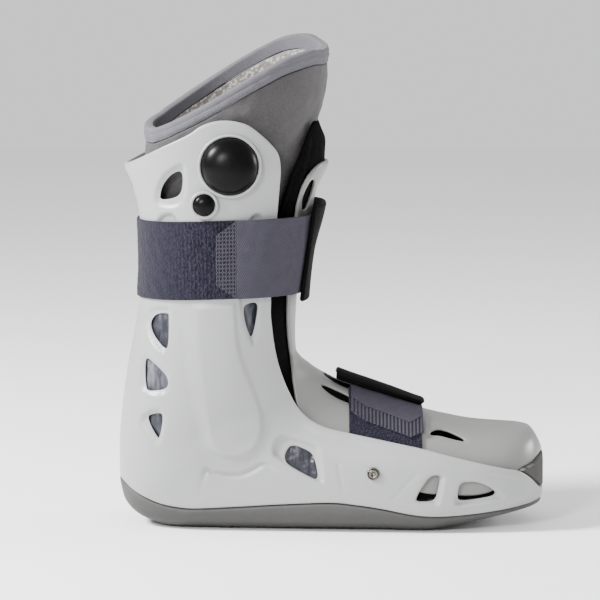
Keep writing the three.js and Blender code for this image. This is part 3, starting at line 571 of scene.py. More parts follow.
class Socket:
    """A node's output that arithmetic works on: each operator adds a Math node, or a Vector Math node where
    either side is a vector or a colour, and gives its output."""

    def __init__(self, socket):
        self.socket = socket

    def node(self, kind, settings, inputs, output=0):
        """Adds a node to this output's tree."""
        return add_node(self.socket.id_data, kind, settings, inputs, output)

    def combined(self, operation, first, second=0.0):
        sides = (first, second)
        is_vector = any(isinstance(side, tuple) or getattr(getattr(side, "socket", None), "type", "") in
                        ("VECTOR", "RGBA") for side in sides)
        if is_vector:
            sides = tuple((side,) * 3 if isinstance(side, (int, float)) else side for side in sides)
        return self.node("ShaderNodeVectorMath" if is_vector else "ShaderNodeMath", {"operation": operation},
                         dict(enumerate(sides)))

    def operator(operation, is_reflected=False):
        """An operator's method, which takes its two sides in turn, or the other way round."""
        def method(self, other):
            return self.combined(operation, *((other, self) if is_reflected else (self, other)))
        return method

    __add__, __radd__ = operator("ADD"), operator("ADD", True)
    __sub__, __rsub__ = operator("SUBTRACT"), operator("SUBTRACT", True)
    __mul__, __rmul__ = operator("MULTIPLY"), operator("MULTIPLY", True)
    __truediv__, __rtruediv__ = operator("DIVIDE"), operator("DIVIDE", True)
    __pow__, __rpow__ = operator("POWER"), operator("POWER", True)

    def sine(self):
        return self.combined("SINE", self)

    def size(self):
        return self.combined("ABSOLUTE", self)

    def part(self, axis):
        return self.node("ShaderNodeSeparateXYZ", {}, {0: self}, axis)

    def step(self, low, high):
        """0 at low, 1 at high and a smooth S between."""
        return self.node("ShaderNodeMapRange", {"interpolation_type": "SMOOTHSTEP"},
                         {"Value": self, "From Min": low, "From Max": high})

    def mixed(self, first, second):
        """The first colour where this is 0, and the second where it is 1."""
        return self.node("ShaderNodeMix", {"data_type": "RGBA"}, {"Factor": self, 6: first, 7: second}, 2)

    def noise(self, pitch, detail=2.0, seed=0.0):
        """Noise from 0 to 1 whose features are about a pitch apart."""
        return self.node("ShaderNodeTexNoise", {"noise_dimensions": "4D"},
                         {"Vector": self, "W": seed, "Scale": 1 / pitch, "Detail": detail})

    def cells(self, pitch):
        """Distance to the nearest of scattered points about a pitch apart, in pitches."""
        return self.node("ShaderNodeTexVoronoi", {}, {"Vector": self, "Scale": 1 / pitch})

    def wave(self, pitch):
        """A sine wave along this, from -1 to 1, a pitch long."""
        return (self * (TURN / pitch)).sine()


def add_node(tree, kind, settings, inputs, output=0):
    """Adds a node: its settings first, then each input's value or link."""
    node = tree.nodes.new(kind)
    for key, value in settings.items():
        setattr(node, key, value)
    for key, value in inputs.items():
        connect(value, node.inputs[key])
    return Socket(node.outputs[output])


def connect(value, sink):
    """Links a node's output to an input, or gives the input a value."""
    if isinstance(value, Socket):
        sink.id_data.links.new(value.socket, sink)
    else:
        sink.default_value = (*value[:3], 1.0) if sink.type == "RGBA" else value


def finished(name, build):
    """A material whose surface takes the values and links that build gives for its sockets. Its bump, if
    any, is a height in metres and a strength."""
    material = bpy.data.materials.new(name)
    material.use_nodes = True
    tree = material.node_tree
    surface = tree.nodes["Principled BSDF"]
    place = add_node(tree, "ShaderNodeTexCoord", {}, {}, "Object")
    cloth = add_node(tree, "ShaderNodeUVMap", {"uv_map": "cloth"}, {})
    for key, value in build(place, cloth).items():
        if key == "height":
            height, strength = value
            value = height.node("ShaderNodeBump", {},
                                {"Strength": strength, "Distance": 1.0, "Height": height})
            key = "Normal"
        connect(value, surface.inputs[key])
    return material


def plastic(light, tint, grain=0.00004):
    """Moulded plastic: faint cloudiness in colour and gloss, and a fine grain."""
    def build(place, cloth):
        clouds, fine = place.noise(0.03, 3), place.noise(0.0012, 2, 3.0)
        first, second = (tuple(level * part for part in tint) for level in (light * 0.97, light * 1.03))
        return {"Base Color": clouds.mixed(first, second),
                "Roughness": 0.3 + 0.12 * place.noise(0.012, 3, 7.0), "height": (fine * grain, 1.0)}
    return build


def black(light, rough, gloss):
    """Dark moulded stuff: faint dust in its colour and uneven gloss."""
    def build(place, cloth):
        dust = place.noise(0.004, 4, 1.0).step(0.45, 0.8)
        return {"Base Color": dust.mixed((light, light, light * 1.05), (light * 2, light * 2, light * 2.1)),
                "Roughness": rough + 0.12 * place.noise(0.01, 3, 2.0), "Specular IOR Level": gloss,
                "height": (place.noise(0.0008, 2, 5.0) * 0.00003, 1.0)}
    return build


def rubber(place, cloth):
    """The sole: grey rubber, mottled, with painted shade that makes it a little darker towards its foot."""
    shade = place.noise(0.006, 4).mixed((0.042, 0.041, 0.04), (0.053, 0.052, 0.051))
    # Painted shade: the colour darkens over the lowest 25 mm, towards the floor.
    return {"Base Color": shade * (0.75 + 0.35 * place.part(2).step(0.0, 0.025)),
            "Roughness": 0.55 + 0.15 * place.noise(0.01, 2, 4.0), "Specular IOR Level": 0.3,
            "height": (place.noise(0.0016, 3, 9.0) * 0.00015, 1.0)}


def liner_cloth(place, cloth):
    """Brushed knit outside, a grey fleck on warm grey, and a knitted lining inside, beige with dark
    stitches."""
    inside = place.node("ShaderNodeAttribute", {"attribute_name": "inside"}, {}, "Fac")
    fleck, fibre = place.noise(0.0011, 3), place.noise(0.00045, 2, 3.0)
    outer = fleck.step(0.3, 0.7).mixed((0.028, 0.0258, 0.0266), (0.042, 0.039, 0.0402))
    stitch = place.cells(0.0026)
    inner = stitch.step(0.25, 0.55).mixed((0.3, 0.275, 0.257), (0.13, 0.118, 0.114))
    wide = place.noise(0.02, 2, 5.0)
    height = fibre * 0.0002 + fleck * 0.0003 - inside * stitch * 0.0008
    return {"Base Color": inside.mixed(outer, inner) * (0.8 + 0.4 * wide), "Roughness": 0.9,
            "Sheen Weight": 0.1, "height": (height, 0.8)}


def binding_cloth(place, cloth):
    """Stretch binding: fine cross ribs 0.9 mm apart, crossed by threads 0.6 mm apart."""
    ribs = cloth.part(0).wave(0.0009)
    threads = cloth.part(1).wave(0.0006)
    weave = ribs * 0.3 + threads * 0.2 + 0.5
    shade = weave.mixed((0.046, 0.045, 0.053), (0.085, 0.083, 0.097))
    return {"Base Color": shade * (0.85 + 0.3 * place.noise(0.01, 2)), "Roughness": 0.85,
            "Sheen Weight": 0.06, "height": (weave * 0.00015, 0.8)}


def foam(dark, bright, pore):
    """Foam: open pores, a pore apart, on a mottled colour."""
    def build(place, cloth):
        pores = place.cells(pore)
        return {"Base Color": (pores + 0.5 * place.noise(0.006, 3)).step(0.3, 1.1).mixed(bright, dark),
                "Roughness": 0.9, "Specular IOR Level": 0.03, "height": (pores * -0.0003, 0.7)}
    return build


def guard(place, cloth):
    """Ribbed guard, ribs 2.6 mm apart, with painted shade darkening the grooves between them."""
    ribs = (cloth.part(1) + 0.0026 / 4).wave(0.0026)
    # Painted shade: the colour is darkest in the sunk grooves between the ribs, with a random mottle on top.
    tone = ribs * -0.5 + 0.3 + 0.4 * place.noise(0.002, 3)
    return {"Base Color": tone.mixed((0.07, 0.065, 0.061), (0.006, 0.0055, 0.005)), "Roughness": 0.85,
            "height": (place.noise(0.0009, 3) * 0.0002, 0.8)}


def film(place, cloth):
    """Shiny film: dark bluish grey with soft pale streaks of painted highlight upright along its creases."""
    streak = (place * (1.0, 1.0, 0.22)).noise(0.0085, 3, 2.0)
    # Painted highlights: the film is pale where its bumped creases stand highest.
    return {"Base Color": streak.step(0.48, 0.74).mixed((0.01, 0.011, 0.017), (0.13, 0.13, 0.155)),
            "Coat Weight": 0.1, "Roughness": 0.25 + 0.25 * place.noise(0.02, 2), "Specular IOR Level": 0.3,
            "height": (streak * 0.003, 0.8)}


def loops(place, cloth):
    """Hook-and-loop pile: dark fuzz in upright rows of tufts, lighter towards the heel by painted light."""
    tufts, fuzz = (place * (1.0, 1.0, 0.45)).noise(0.0009, 3), place.noise(0.0005, 3, 4.0)
    rows = cloth.part(0).wave(0.0027) * 0.05
    # Painted light: the pile grows lighter towards the heel, plus a faint random mottle.
    heel_light_and_mottle = place.part(0).step(0.0, -0.05) * 0.7 + 0.2 * place.noise(0.02, 3, 8.0)
    dark = (tufts + rows).step(0.35, 0.7).mixed((0.003, 0.0028, 0.0053), (0.021, 0.0198, 0.034))
    return {"Base Color": heel_light_and_mottle.mixed(dark, (0.011, 0.0104, 0.0175)) * (0.5 + fuzz), "Roughness": 0.95,
            "Specular IOR Level": 0.1, "Sheen Weight": 0.05, "height": (tufts * 0.0008 + fuzz * 0.0003, 1.0)}


def webbing(place, cloth):
    """Woven webbing: a twill whose lines run slanting along x less the size of y, 1.3 mm apart, broken by
    cross threads 0.7 mm apart."""
    way, up = place.part(0) - place.part(1).size(), place.part(2)
    twill = (way + up * 0.6).wave(0.0013)
    threads = up.wave(0.0007)
    weave = 0.5 + 0.36 * twill + 0.2 * threads
    shade = weave.mixed((0.009, 0.0085, 0.0125), (0.055, 0.051, 0.07))
    return {"Base Color": shade * (0.8 + 0.4 * place.noise(0.005, 3)), "Roughness": 0.75,
            "Specular IOR Level": 0.15, "height": (weave * 0.00025, 0.8)}


def steel(place, cloth):
    """Turned steel: fine rings of gloss round the screw."""
    return {"Base Color": place.noise(0.002, 3).mixed((0.09, 0.085, 0.075), (0.17, 0.16, 0.142)),
            "Metallic": 1.0, "Roughness": 0.22 + 0.2 * place.noise(0.0006, 3)}


def floor_finish(place, cloth):
    """A pale sweep with a very faint mottle."""
    return {"Base Color": place.noise(0.4, 3).mixed((0.86, 0.86, 0.86), (0.88, 0.88, 0.88)), "Roughness": 0.7}


finishes = {name: finished(name, build) for name, build in (
    ("shell_plastic", plastic(0.25, (1.0, 1.01, 1.02))),
    ("panel_plastic", plastic(0.145, (1.01, 1.005, 0.98))),
    ("sole_rubber", rubber),
    ("liner_fabric", liner_cloth),
    ("binding_fabric", binding_cloth),
    ("bed_foam", foam((0.1, 0.095, 0.085), (0.2, 0.19, 0.175), 0.0012)),
    ("guard_foam", guard),
    ("air_film", film),
    ("black_foam", foam((0.001, 0.001, 0.001), (0.004, 0.004, 0.004), 0.0009)),
    ("loop_fabric", loops),
    ("woven_fabric", webbing),
    ("black_plastic", black(0.0015, 0.55, 0.02)),
    ("black_rubber", black(0.001, 0.24, 0.09)),
    ("steel", steel),
)}


shell_top, sole_line, panel_edge, pad_edge, rim_line = (
    through(drawn(line)) for line in (SHELL_TOP, SOLE_LINE, PANEL_EDGE, PAD_EDGE, RIM_LINE))
windows = {name: rounded(drawn(outline)) for name, outline in WINDOWS.items()}
recesses = [rounded(drawn(outline)) for outline in RECESSES]
plateau = rounded(drawn(PLATEAU))
groove = doubled(through(drawn(GROOVE)))
creases = [doubled(drawn(line)) for line in CREASES]
slots = [rounded(drawn(outline), 2) for outline in PANEL_SLOTS]
shell_outline = np.vstack([shell_top, sole_line[::-1]])
panel_outline = np.vstack([panel_edge, [(LENGTH, panel_edge[0, 1])]])
pad_outline = np.vstack([pad_edge[pad_edge[:, 0] < 0.241 * LENGTH],
                         drawn([(1, 0.3), (1, 0.894), (0.277, 0.894), (0.263, 0.951), (0.243, 0.998)])])
pad_ridge = doubled(drawn([(0.22, 0.95), (0.218, 0.93), (0.205, 0.87), (0.18, 0.775), (0.17, 0.72)]))
bulb_place = np.array((0.04 * LENGTH, 0.892 * HEIGHT))
screw_place = np.array((0.37 * LENGTH, 0.147 * HEIGHT))
button_turn = math.radians(-123.3)
button_way = np.array((math.cos(button_turn), math.sin(button_turn)))
button_place = bulb_place + (BULB_RING + BUTTON_RING + GAP) * button_way
shin_height = button_place[1] - BUTTON_RING - 1.5 * MM - SHIN_STRAP_WIDTH / 2
loop_end = 0.08 * LENGTH
hook_start, hook_end = 0.008 * LENGTH, 0.008 * LENGTH + 14 * MM
foot_rear = 0.32 * LENGTH
foot_front = foot_rear + 50 * MM
mouth_start = 0.716 * LENGTH


def ripples(points, pitch, seed, waves=14):
    """Smooth irregular ripples from about -1 to 1: a sum of sines in random directions, about a pitch
    long."""
    random = np.random.default_rng(seed)
    turns = unit(random.normal(size=(waves, points.shape[-1]))) * random.uniform(0.6, 1.5, (waves, 1))
    phase = random.uniform(0, 6.28, waves)
    return np.sin(points @ turns.T * (TURN / pitch) + phase).sum(-1) / math.sqrt(waves)


def side_view(points):
    return points[..., 0], points[..., 2]


def place_piece(piece, node, slot, body="boot"):
    """Gives a piece its body, the node it stands for and its slot's finish."""
    piece.data.materials.append(finishes[slot])
    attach(piece, body)
    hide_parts(node)
    return piece


def pierced(outline, holes=()):
    """Gives a distance in side view, negative inside an outline and outside its holes."""
    def distance(points):
        x, z = side_view(points)
        return np.max([distance_to(outline, x, z)] + [-distance_to(hole, x, z) for hole in holes], 0)
    return distance


def shell_relief(points, uv):
    """How far the shell is sunk. Each recess falls 2.4 mm within 3 mm of its outline. The ankle's plateau
    stands 1.8 mm proud up to the strap, with a slope 14 mm wide at the rear and 3 mm wide ahead, and a
    groove 1.6 mm deep runs under it. A band 6 mm wide under the foot's edge stands 0.5 mm proud, and two
    faint creases run down from it."""
    x, z = side_view(points)
    slope = (14 - 11 * fade(x, -0.03 * LENGTH, 0.03 * LENGTH)) * MM
    depth = -1.8 * MM * (1 - fade(distance_to(plateau, x, z) + slope - 0.5 * MM, 0, slope))
    depth *= 1 - fade(z - shin_middle(x) + SHIN_STRAP_WIDTH / 2, -7 * MM, -1 * MM)
    along_groove = fade(x, -0.04 * LENGTH, -0.01 * LENGTH) * (1 - fade(x, 0.1 * LENGTH, 0.16 * LENGTH))
    depth += 1.6 * MM * along_groove * bell(distance_to(groove, x, z), 1.4 * MM)
    for crease in creases:
        depth += 0.4 * MM * bell(distance_to(crease, x, z), 1.2 * MM)
    band = 1 - fade(np.abs(distance_to(shell_outline, x, z)), 5 * MM, 6.5 * MM)
    depth -= 0.5 * MM * band * fade(x, 0.17 * LENGTH, 0.25 * LENGTH) * fade(z, 0.1 * HEIGHT, 0.14 * HEIGHT)
    falls = [1 - fade(distance_to(outline, x, z), -2.7 * MM, 0.3 * MM) for outline in recesses]
    return depth + 2.4 * MM * np.max(falls, 0)


def panel_relief(points, uv):
    """The panel is sunk 1 mm round each slot, over 4 mm."""
    x, z = side_view(points)
    return MM * (1 - fade(np.min([distance_to(outline, x, z) for outline in slots], 0), 0, 4 * MM))


def pad_relief(points, uv):
    """A seam stands up 1.2 mm along the pad's side, with a groove beside it, and the foam is slightly
    uneven."""
    apart = distance_to(pad_ridge, *side_view(points))
    channel, seam = 0.7 * MM * bell(apart - 3.5 * MM, 1.2 * MM), 1.2 * MM * bell(apart, 1.5 * MM)
    return channel - seam + 0.15 * MM * ripples(points, 11 * MM, 21)


def cell_distance(sign):
    outline = drawn(CELL_EDGE)

    def distance(points):
        x, z = side_view(points)
        within = np.maximum(distance_to(outline, x, z), above(sole_line + (0, SOLE_PLATE + GAP), x, z))
        return np.maximum(within, 3 * MM - sign * points[..., 1])
    return distance


def cell_relief(points, uv):
    """The film's wrinkles: ripples 16 mm and 5 mm long, 0.5 mm deep."""
    return 0.5 * MM * np.abs(ripples(points, 16 * MM, 3)) + 0.15 * MM * ripples(points, 5 * MM, 4)


def below_rim(points, drop):
    """Signed distance to the rim's leaning line, negative below it."""
    x, z = side_view(points)
    return -above(rim_line - (0, drop), x, z - RIM_LEAN * points[..., 1])


liner_sections = np.vstack([measured(LINER_TOP),
                            drawn_in(boot_sections[2:19], LINER_SIDE, LINER_FRONT, LINER_REAR)])
bed_top = sole_line + (0, SOLE_PLATE + 2 * GAP + BED_THICKNESS)


def liner_distance(points):
    x, z = side_view(points)
    within = np.maximum(below_rim(points, BINDING + GAP), above(bed_top, x, z))
    return np.maximum(within, x - 0.47 * LENGTH)


def liner_relief(points, uv):
    """Soft lumps 40 mm wide and 0.5 mm deep, smaller ones 13 mm wide, and a tuck of 0.2 mm under the
    binding."""
    lumps = 0.5 * MM * ripples(points, 40 * MM, 5) + 0.25 * MM * ripples(points, 13 * MM, 6)
    return lumps + 0.2 * MM * (1 - fade(-below_rim(points, BINDING), 0, 5 * MM))


def binding_distance(points):
    return np.maximum(below_rim(points, 0), -below_rim(points, BINDING))


def binding_relief(points, uv):
    """The binding lies nearly flat, with a round top. Two seams draw it in, 4.5 mm below its top and 2.2 mm
    above its lower edge."""
    drop = -below_rim(points, 0)
    seams = sum(bell(drop - at, 0.5 * MM) for at in (4.5 * MM, BINDING - 2.2 * MM))
    return 0.5 * MM * seams + 0.54 * MM * (1 - np.sin(math.pi * np.clip(drop / BINDING, 0, 1))) \
        + 0.15 * MM * ripples(points, 9 * MM, 8)


def binding_lip(points):
    """The band's top is round, 2.2 mm high, and its lower edge is thin."""
    return 0.5 * MM + 1.7 * MM * (below_rim(points, 5 * MM) > 0)


def liner_lip(points):
    """The liner's upper edge is flat where the binding meets it, and its other edges are round."""
    return 0.4 * MM + 2 * MM * (below_rim(points, 20 * MM) < 0)


def sole_skin():
    """The form, flat where it would go below the floor."""
    points, normals = skin()
    points[..., 2] = points[..., 2].clip(0.05 * MM)
    return points, normals


def sole_distance(points):
    return -above(sole_line - (0, GAP), *side_view(points))


def guard_distance(points):
    """Negative between the shell's edge and the panel's, ahead of the mouth's rear end."""
    x, z = side_view(points)
    over_shell = above(shell_top + (0, GAP), x, z)
    under_panel = -above(panel_edge - (0, GAP), x, z)
    return np.maximum(np.maximum(over_shell, under_panel), mouth_start - x)


def guard_relief(points, uv):
    """Upright ribs, one in every 2.6 mm of the way round, 0.5 mm deep."""
    return 0.25 * MM * (1 - np.cos(TURN * uv[:, 1] / (2.6 * MM)))


def shin_middle(x):
    return shin_height + x * SHIN_STRAP_SLOPE


def across_shin(points, start, end, half=SHIN_STRAP_WIDTH / 2):
    """Signed distance to the shin strap's course between two places along the boot, negative within."""
    x, z = side_view(points)
    return np.maximum(np.abs(z - shin_middle(x)) - half, np.maximum(start - x, x - end))


def strap_skin(out, forward=0.0, rows=560, columns=480):
    """The form round the shaft, a distance out from it, with a squarer front that clears the shell's
    edges."""
    squarer = boot_sections[:9] + SHIN_STRAP_SQUARE * (np.arange(8) == 7)
    return skin(-out, -out - forward, -out, squarer, rows, columns, 0.13, 0.25)


def loop_relief(points, uv):
    """The band's nap: ripples 2.2 mm long and 0.12 mm deep on bumps 9 mm long and 0.15 mm deep."""
    return 0.12 * MM * ripples(points, 2.2 * MM, 11) + 0.15 * MM * ripples(points, 9 * MM, 12)


def webbing_relief(points, uv):
    """The webbing's slight ripples, 14 mm long and 0.12 mm deep."""
    return 0.12 * MM * ripples(points, 14 * MM, 13)


def closure_distance(points):
    return across_shin(points, hook_end, LENGTH)


def hook_distance(points):
    """The tab's outline in side view: its free end has both corners cut at 10 mm."""
    x, z = side_view(points)
    low, high = (shin_middle(x) + side * SHIN_STRAP_WIDTH / 2 for side in (-1, 1))
    cut_corner = 10 * MM * (1 - (x - hook_start) / (hook_end - hook_start))
    within = np.maximum(np.maximum(low + cut_corner - z, z - high + cut_corner) * 0.8, points[..., 1])
    return np.maximum(within, np.maximum(hook_start - x, x - hook_end))


def hook_relief(points, uv):
    """Holes 1.4 mm wide, 1.6 mm high and 1.3 mm deep, 2.33 mm apart along the boot and 2.75 mm apart up
    it."""
    x, z = side_view(points)
    from_edge = np.minimum(x - hook_start, hook_end - x) > 0.9 * MM
    in_column = np.abs((x - hook_start) / (2.33 * MM) % 1 - 0.5) < 0.3
    in_row = np.abs((z - shin_middle(x)) / (2.75 * MM) % 1 - 0.5) < 0.29
    return np.where(from_edge & in_column & in_row, 1.3 * MM, 0)


def foot_skin(out, rows=620, columns=460):
    return skin(PANEL_INSET - out, -out, PANEL_INSET - out, boot_sections[10:20], rows, columns)


def foot_band_distance(sign):
    """Negative where a loop band goes from inside the shell's edge up the panel's side, 15 mm from the
    middle."""
    rear, front = foot_rear - 1.5 * MM, foot_front - 1.5 * MM

    def distance(points):
        x, z = side_view(points)
        foot = 0.14 * HEIGHT + 6 * MM * (front - x) / (front - rear)
        within = np.maximum(np.maximum(rear - x, x - front), foot - z)
        return np.maximum(within, 15 * MM - sign * points[..., 1])
    return distance


foot_tab = drawn([(0.32, 0.292), (0.32 + 9 / 297, 0.27), (0.32 + 41 / 297, 0.232), (0.32 + 50 / 297, 0.245)])


def foot_closure_distance(points):
    x, z = side_view(points)
    outline = np.vstack([foot_tab + (0, 9 * MM), [(foot_front, 0.5 * HEIGHT), (foot_rear, 0.5 * HEIGHT)]])
    return distance_to(outline, x, z)


def foot_hook_distance(points):
    outline = np.vstack([foot_tab, foot_tab[::-1] + (0, 9 * MM)])
    return np.maximum(distance_to(outline, *side_view(points)), points[..., 1])


def foot_hook_relief(points, uv):
    """Twenty ribs across the tab, one in every 2.5 mm along the boot, with grooves 0.8 mm deep between
    them."""
    return 0.8 * MM * fade(np.cos(TURN * points[:, 0] / (2.5 * MM)), -0.4, 0.4)


foot_guide = drawn([(0.286, 0.366), (0.3, 0.36), (0.325, 0.351), (0.483, 0.3), (0.497, 0.299), (0.513, 0.313),
                    (0.513, 0.5), (0.312, 0.5), (0.308, 0.41), (0.298, 0.392), (0.288, 0.38)])


def shin_guide_distance(points):
    """Negative ahead of a line that slants from 0.205 lengths at the plate's foot to 0.235 at its top."""
    x, z = side_view(points)
    rear = LENGTH * (0.205 + 0.03 * (z - shin_height + 29 * MM) / (66 * MM))
    return np.maximum(np.abs(z - shin_middle(x)) - 33 * MM, rear - x)


def seat(place, radius):
    """How far out the shell's right side comes within a radius of a place in side view."""
    points = shell_skin[0]
    is_near = np.hypot(points[..., 0] - place[0], points[..., 2] - place[1]) < radius
    return points[is_near][:, 1].min()


def tube(points):
    """The vertices and faces of rings of points, each joined to the next."""
    number = np.arange(points.shape[0] * points.shape[1]).reshape(points.shape[:2])
    after = np.roll(number, -1, 1)
    faces = np.stack([number[:-1], after[:-1], after[1:], number[1:]], -1).reshape(-1, 4)
    return points.reshape(-1, 3), [faces]


def turned(name, radius, height, place, y, sides=96, is_left=False):
    """A turned piece on an axis out of the right side, through its profile's points. The radius has one
    column, or one for each side."""
    angle = np.linspace(0, TURN, sides, endpoint=False)
    radius = np.broadcast_to(np.reshape(radius, (len(height), -1)), (len(height), sides))
    high = np.broadcast_to(np.reshape(height, (-1, 1)), radius.shape)
    points = np.stack([place[0] + radius * np.cos(angle), y - high, place[1] + radius * np.sin(angle)], -1)
    points, faces = tube(points)
    return solid(name, points * (1, -1, 1), [faces[0][:, ::-1]]) if is_left else solid(name, points, faces)


def dome(radius, foot, wall, height, steps=24):
    """A dome's profile: a foot, a short wall and a quarter of an ellipse, rounded where they meet."""
    turn = np.linspace(0, math.pi / 2, steps)
    return (np.concatenate([[0, radius], radius * np.cos(turn) ** 0.9]),
            np.concatenate([[foot, foot], wall + (height - wall) * np.sin(turn)]))


def rim(inner, outer, foot, height, steps=16):
    """A ring's profile: an outer wall, half a round over the top and an inner wall."""
    turn = np.linspace(0, math.pi, steps)
    middle, half = (inner + outer) / 2, (outer - inner) / 2
    return (np.concatenate([[inner, outer], middle + half * np.cos(turn), [inner]]),
            np.concatenate([[foot, foot], height - half + half * np.sin(turn), [foot]]))


def screw(name, is_left):
    """A washer, a groove and a round head with a six-sided socket, whose radius is the socket's half width
    over the cosine of the angle from its nearest side."""
    angle = np.linspace(0, TURN, 96, endpoint=False)
    hexagon = SOCKET_RADIUS * 0.9 / np.cos((angle + math.pi / 6) % (math.pi / 3) - math.pi / 6)
    top, turn = 1.9 * MM, np.linspace(0, math.pi / 2, 8)
    head = 0.72 * SCREW_RADIUS
    washer = SCREW_RADIUS - 0.3 * MM + 0.3 * MM * np.cos(turn)
    groove = [0.84 * SCREW_RADIUS, 0.82 * SCREW_RADIUS, head + 0.1 * MM]
    radius = np.concatenate([[0, SCREW_RADIUS], washer, groove, head - 0.5 * MM + 0.5 * MM * np.cos(turn)])
    height = np.concatenate([[-SUNK, -SUNK], 0.9 * MM + 0.3 * MM * np.sin(turn),
                             [1.2 * MM, 0.2 * MM, 0.2 * MM], top - 0.5 * MM + 0.5 * MM * np.sin(turn)])
    radius = np.concatenate([np.repeat(radius[:, None], 96, 1), [hexagon, hexagon, 0 * hexagon]])
    height = np.concatenate([height, [top, 0.9 * MM, 0.9 * MM]])
    return turned(name, radius, height, screw_place, screw_seat, 96, is_left)


def bed_width(stations, floor):
    """Half the bed's width at places along the boot: the form's width inside the pad at 3 mm over the
    floor, blended from the three nearest points of the form in side view by one over their distance, and
    then smoothed."""
    inset = PAD_INSET + PAD_THICKNESS + GAP
    points = skin(inset, inset, inset)[0][:, :COLUMNS // 2 + 1].reshape(-1, 3)
    width = np.zeros(len(stations))
    for i, (x, z) in enumerate(zip(stations, floor + 3 * MM)):
        apart = np.hypot(points[:, 0] - x, points[:, 2] - z)
        near = np.argsort(apart)[:3]
        weight = 1 / (apart[near] + 1e-6)
        width[i] = (points[near, 1] * weight).sum() / weight.sum() if apart[near[0]] < 2.5 * MM else 0
    is_kept = width > 8 * MM
    return is_kept, np.convolve(np.pad(width[is_kept], 4, "edge"), np.ones(9) / 9, "valid")


def add_footbed():
    """A bed on the shell's floor with a round edge. Its section is a superellipse: y is the half width
    times the cosine to the power 1/4, and z half the thickness times the sine to the power 0.6, both with
    their signs."""
    sides = 64
    stations = np.linspace(-0.2 * LENGTH, mouth_start - 8 * MM - GAP, 160)
    floor = np.interp(stations, sole_line[:, 0], sole_line[:, 1]) + SOLE_PLATE + GAP
    is_kept, width = bed_width(stations, floor)
    along, floor = stations[is_kept][:, None], floor[is_kept][:, None]
    turn = np.linspace(0, TURN, sides, endpoint=False)
    across = width[:, None] * np.sign(np.cos(turn)) * np.abs(np.cos(turn)) ** 0.25
    raised = np.sign(np.sin(turn)) * np.abs(np.sin(turn)) ** 0.6
    along = np.broadcast_to(along, across.shape)
    uneven = 0.3 * MM * ripples(np.stack([along, across], -1), 30 * MM, 15)
    loop = np.stack([along, across, floor + BED_THICKNESS / 2 * (1 + raised) + uneven], -1)
    ends = [loop[i:i + 1].mean(1, keepdims=True) * np.ones((1, sides, 1)) for i in (0, -1)]
    return solid("bed", *tube(np.concatenate([ends[0], loop, ends[1]])))


def dress(name, node, slot, grid, distance, wall, lip, relief=None, steps=6):
    """A wall on the form, placed as a node's looks."""
    return place_piece(walled(name, grid, distance, wall, lip, relief, steps), node, slot)


def loop_distance(points):
    return across_shin(points, -LENGTH, loop_end)


shell_skin = skin(0, -PANEL_INSET, 0)
panel_skin = skin(PANEL_INSET, 0, PANEL_INSET)
pad_skin = skin(PAD_INSET, PANEL_WALL + GAP, PAD_INSET)
cell_skin = skin(SHELL_WALL + GAP, SHELL_WALL + GAP, SHELL_WALL + GAP)
liner_skin = skin(sections=liner_sections, rows=260, columns=220)
binding_skin = skin(-BINDING_PROUD, -BINDING_PROUD, -BINDING_PROUD, liner_sections, 700)
closure_out, guide_out = GAP + LAYER + STRAP, GAP + 2 * LAYER + GUIDE
bulb_seat, button_seat = seat(bulb_place, BULB_RADIUS), seat(button_place, BUTTON_RADIUS)
screw_seat = seat(screw_place, SCREW_RADIUS)
button_foot = BUTTON_TRAVEL + GAP

dress("shell", "base_shell", "shell_plastic", shell_skin, pierced(shell_outline, windows.values()),
      SHELL_WALL, HARD_EDGE, shell_relief)
dress("panel", "front_panel", "panel_plastic", panel_skin, pierced(panel_outline, slots), PANEL_WALL,
      HARD_EDGE, panel_relief)
pad = dress("pad", "front_pad", "black_foam", pad_skin, pierced(pad_outline), PAD_WALL, PAD_LIP, pad_relief)
liner = dress("liner_body", "liner", "liner_fabric", liner_skin, liner_distance, LINER_THICKNESS, liner_lip,
              liner_relief)
binding = dress("binding", "liner_binding", "binding_fabric", binding_skin, binding_distance,
                LINER_THICKNESS + 1 * MM, binding_lip, binding_relief, 12)
bed = place_piece(add_footbed(), "footbed", "bed_foam")
dress("sole", "outsole", "sole_rubber", sole_skin(), sole_distance, SOLE_WALL, SOLE_EDGE)
dress("guard", "toe_guard", "guard_foam", skin(rows=900), guard_distance, GUARD_WALL, 1 * MM, guard_relief)
for sign, side in ((-1, "right"), (1, "left")):
    dress("cell_" + side, "air_cell_" + side, "air_film", cell_skin, cell_distance(sign), CELL_THICKNESS,
          CELL_LIP, cell_relief)
    dress("foot_band_" + side, "foot_loop_band_" + side, "loop_fabric", foot_skin(GAP + STRAP),
          foot_band_distance(sign), STRAP, BAND_EDGE, loop_relief)
    place_piece(screw("screw_" + side, sign > 0), "anchor_screw_" + side, "steel")
dress("shin_band", "shin_loop_band", "loop_fabric", strap_skin(GAP + STRAP), loop_distance, STRAP, BAND_EDGE,
      loop_relief)
dress("shin_strap", "shin_closure_strap", "woven_fabric", strap_skin(closure_out, SHIN_STRAP_FORWARD),
      closure_distance, STRAP, WELDED_EDGE, webbing_relief)
dress("shin_tab", "shin_hook_tab", "woven_fabric", strap_skin(closure_out, SHIN_STRAP_FORWARD, 2000, 1700),
      hook_distance, STRAP, WELDED_EDGE, hook_relief)
dress("shin_guide", "shin_strap_guide", "black_plastic", strap_skin(guide_out, SHIN_STRAP_FORWARD),
      shin_guide_distance, GUIDE, HARD_EDGE)
dress("foot_strap", "foot_closure_strap", "woven_fabric", foot_skin(closure_out), foot_closure_distance,
      STRAP, WELDED_EDGE, webbing_relief)
dress("foot_tab", "foot_hook_tab", "woven_fabric", foot_skin(closure_out, 1300, 700), foot_hook_distance,
      STRAP, WELDED_EDGE, foot_hook_relief)
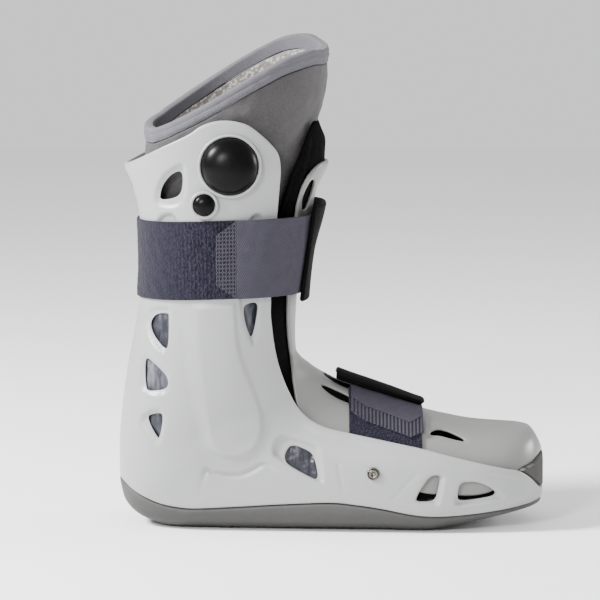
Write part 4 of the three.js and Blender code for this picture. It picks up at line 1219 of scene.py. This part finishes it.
dress("foot_guide", "foot_strap_guide", "black_plastic", foot_skin(guide_out), pierced(foot_guide), GUIDE,
      HARD_EDGE)
place_piece(turned("bulb", *dome(BULB_RADIUS, -SUNK, 1.5 * MM, BULB_HEIGHT), bulb_place, bulb_seat),
            "inflation_bulb", "black_rubber")
place_piece(turned("collar", *rim(BULB_RADIUS + GAP, BULB_RING, -SUNK, RING_HEIGHT), bulb_place, bulb_seat),
            "bulb_ring", "shell_plastic")
button_dome = dome(BUTTON_RADIUS, button_foot, button_foot + 1.2 * MM, button_foot + BUTTON_HEIGHT)
place_piece(turned("button", *button_dome, button_place, button_seat), "release_button", "black_rubber",
            "release_button")
button_rim = rim(BUTTON_RADIUS + GAP, BUTTON_RING, -SUNK, RING_HEIGHT + 1 * MM)
place_piece(turned("button_collar", *button_rim, button_place, button_seat), "button_ring", "shell_plastic")


def add_camera():
    """The photograph's view: from the right, 6.5 degrees above the middle, with a long lens."""
    camera = add_object("camera", bpy.data.cameras.new("camera"))
    target = Vector((59.5, 0, 156)) * MM
    elevation, distance = math.radians(6.5), 2.2
    camera.location = target + distance * Vector((0, -math.cos(elevation), math.sin(elevation)))
    camera.rotation_euler = (target - camera.location).to_track_quat("-Z", "Y").to_euler()
    camera.data.sensor_width = 36
    camera.data.lens = distance / (600 * 0.7 * MM) * 36
    camera.data.clip_end = 20
    bpy.context.scene.camera = camera


def add_studio():
    """A pale floor, an even white surround and three soft lights."""
    mesh = bpy.data.meshes.new("floor")
    mesh.from_pydata([(-4, -4, 0), (4, -4, 0), (4, 4, 0), (-4, 4, 0)], [], [(0, 1, 2, 3)])
    floor = add_object("floor", mesh)
    floor.data.materials.append(finished("floor", floor_finish))
    lamps = (("key", (-1.3, -0.42, 1.25), 0.4, 120), ("fill", (1.7, 0.5, 0.6), 0.5, 24),
             ("front", (-0.6, -1.7, 0.85), 0.3, 32))
    world = bpy.data.worlds.new("surround")
    bpy.context.scene.world = world
    world.use_nodes = True
    world.node_tree.nodes["Background"].inputs["Color"].default_value = (1, 1, 1, 1)
    world.node_tree.nodes["Background"].inputs["Strength"].default_value = 1.0
    for name, place, size, power in lamps:
        light = bpy.data.lights.new(name, "AREA")
        light.size, light.energy = size, power
        lamp = add_object(name, light)
        lamp.location = place
        lamp.rotation_euler = (Vector((0.05, 0, 0.15)) - Vector(place)).to_track_quat("-Z", "Y").to_euler()


add_camera()
add_studio()
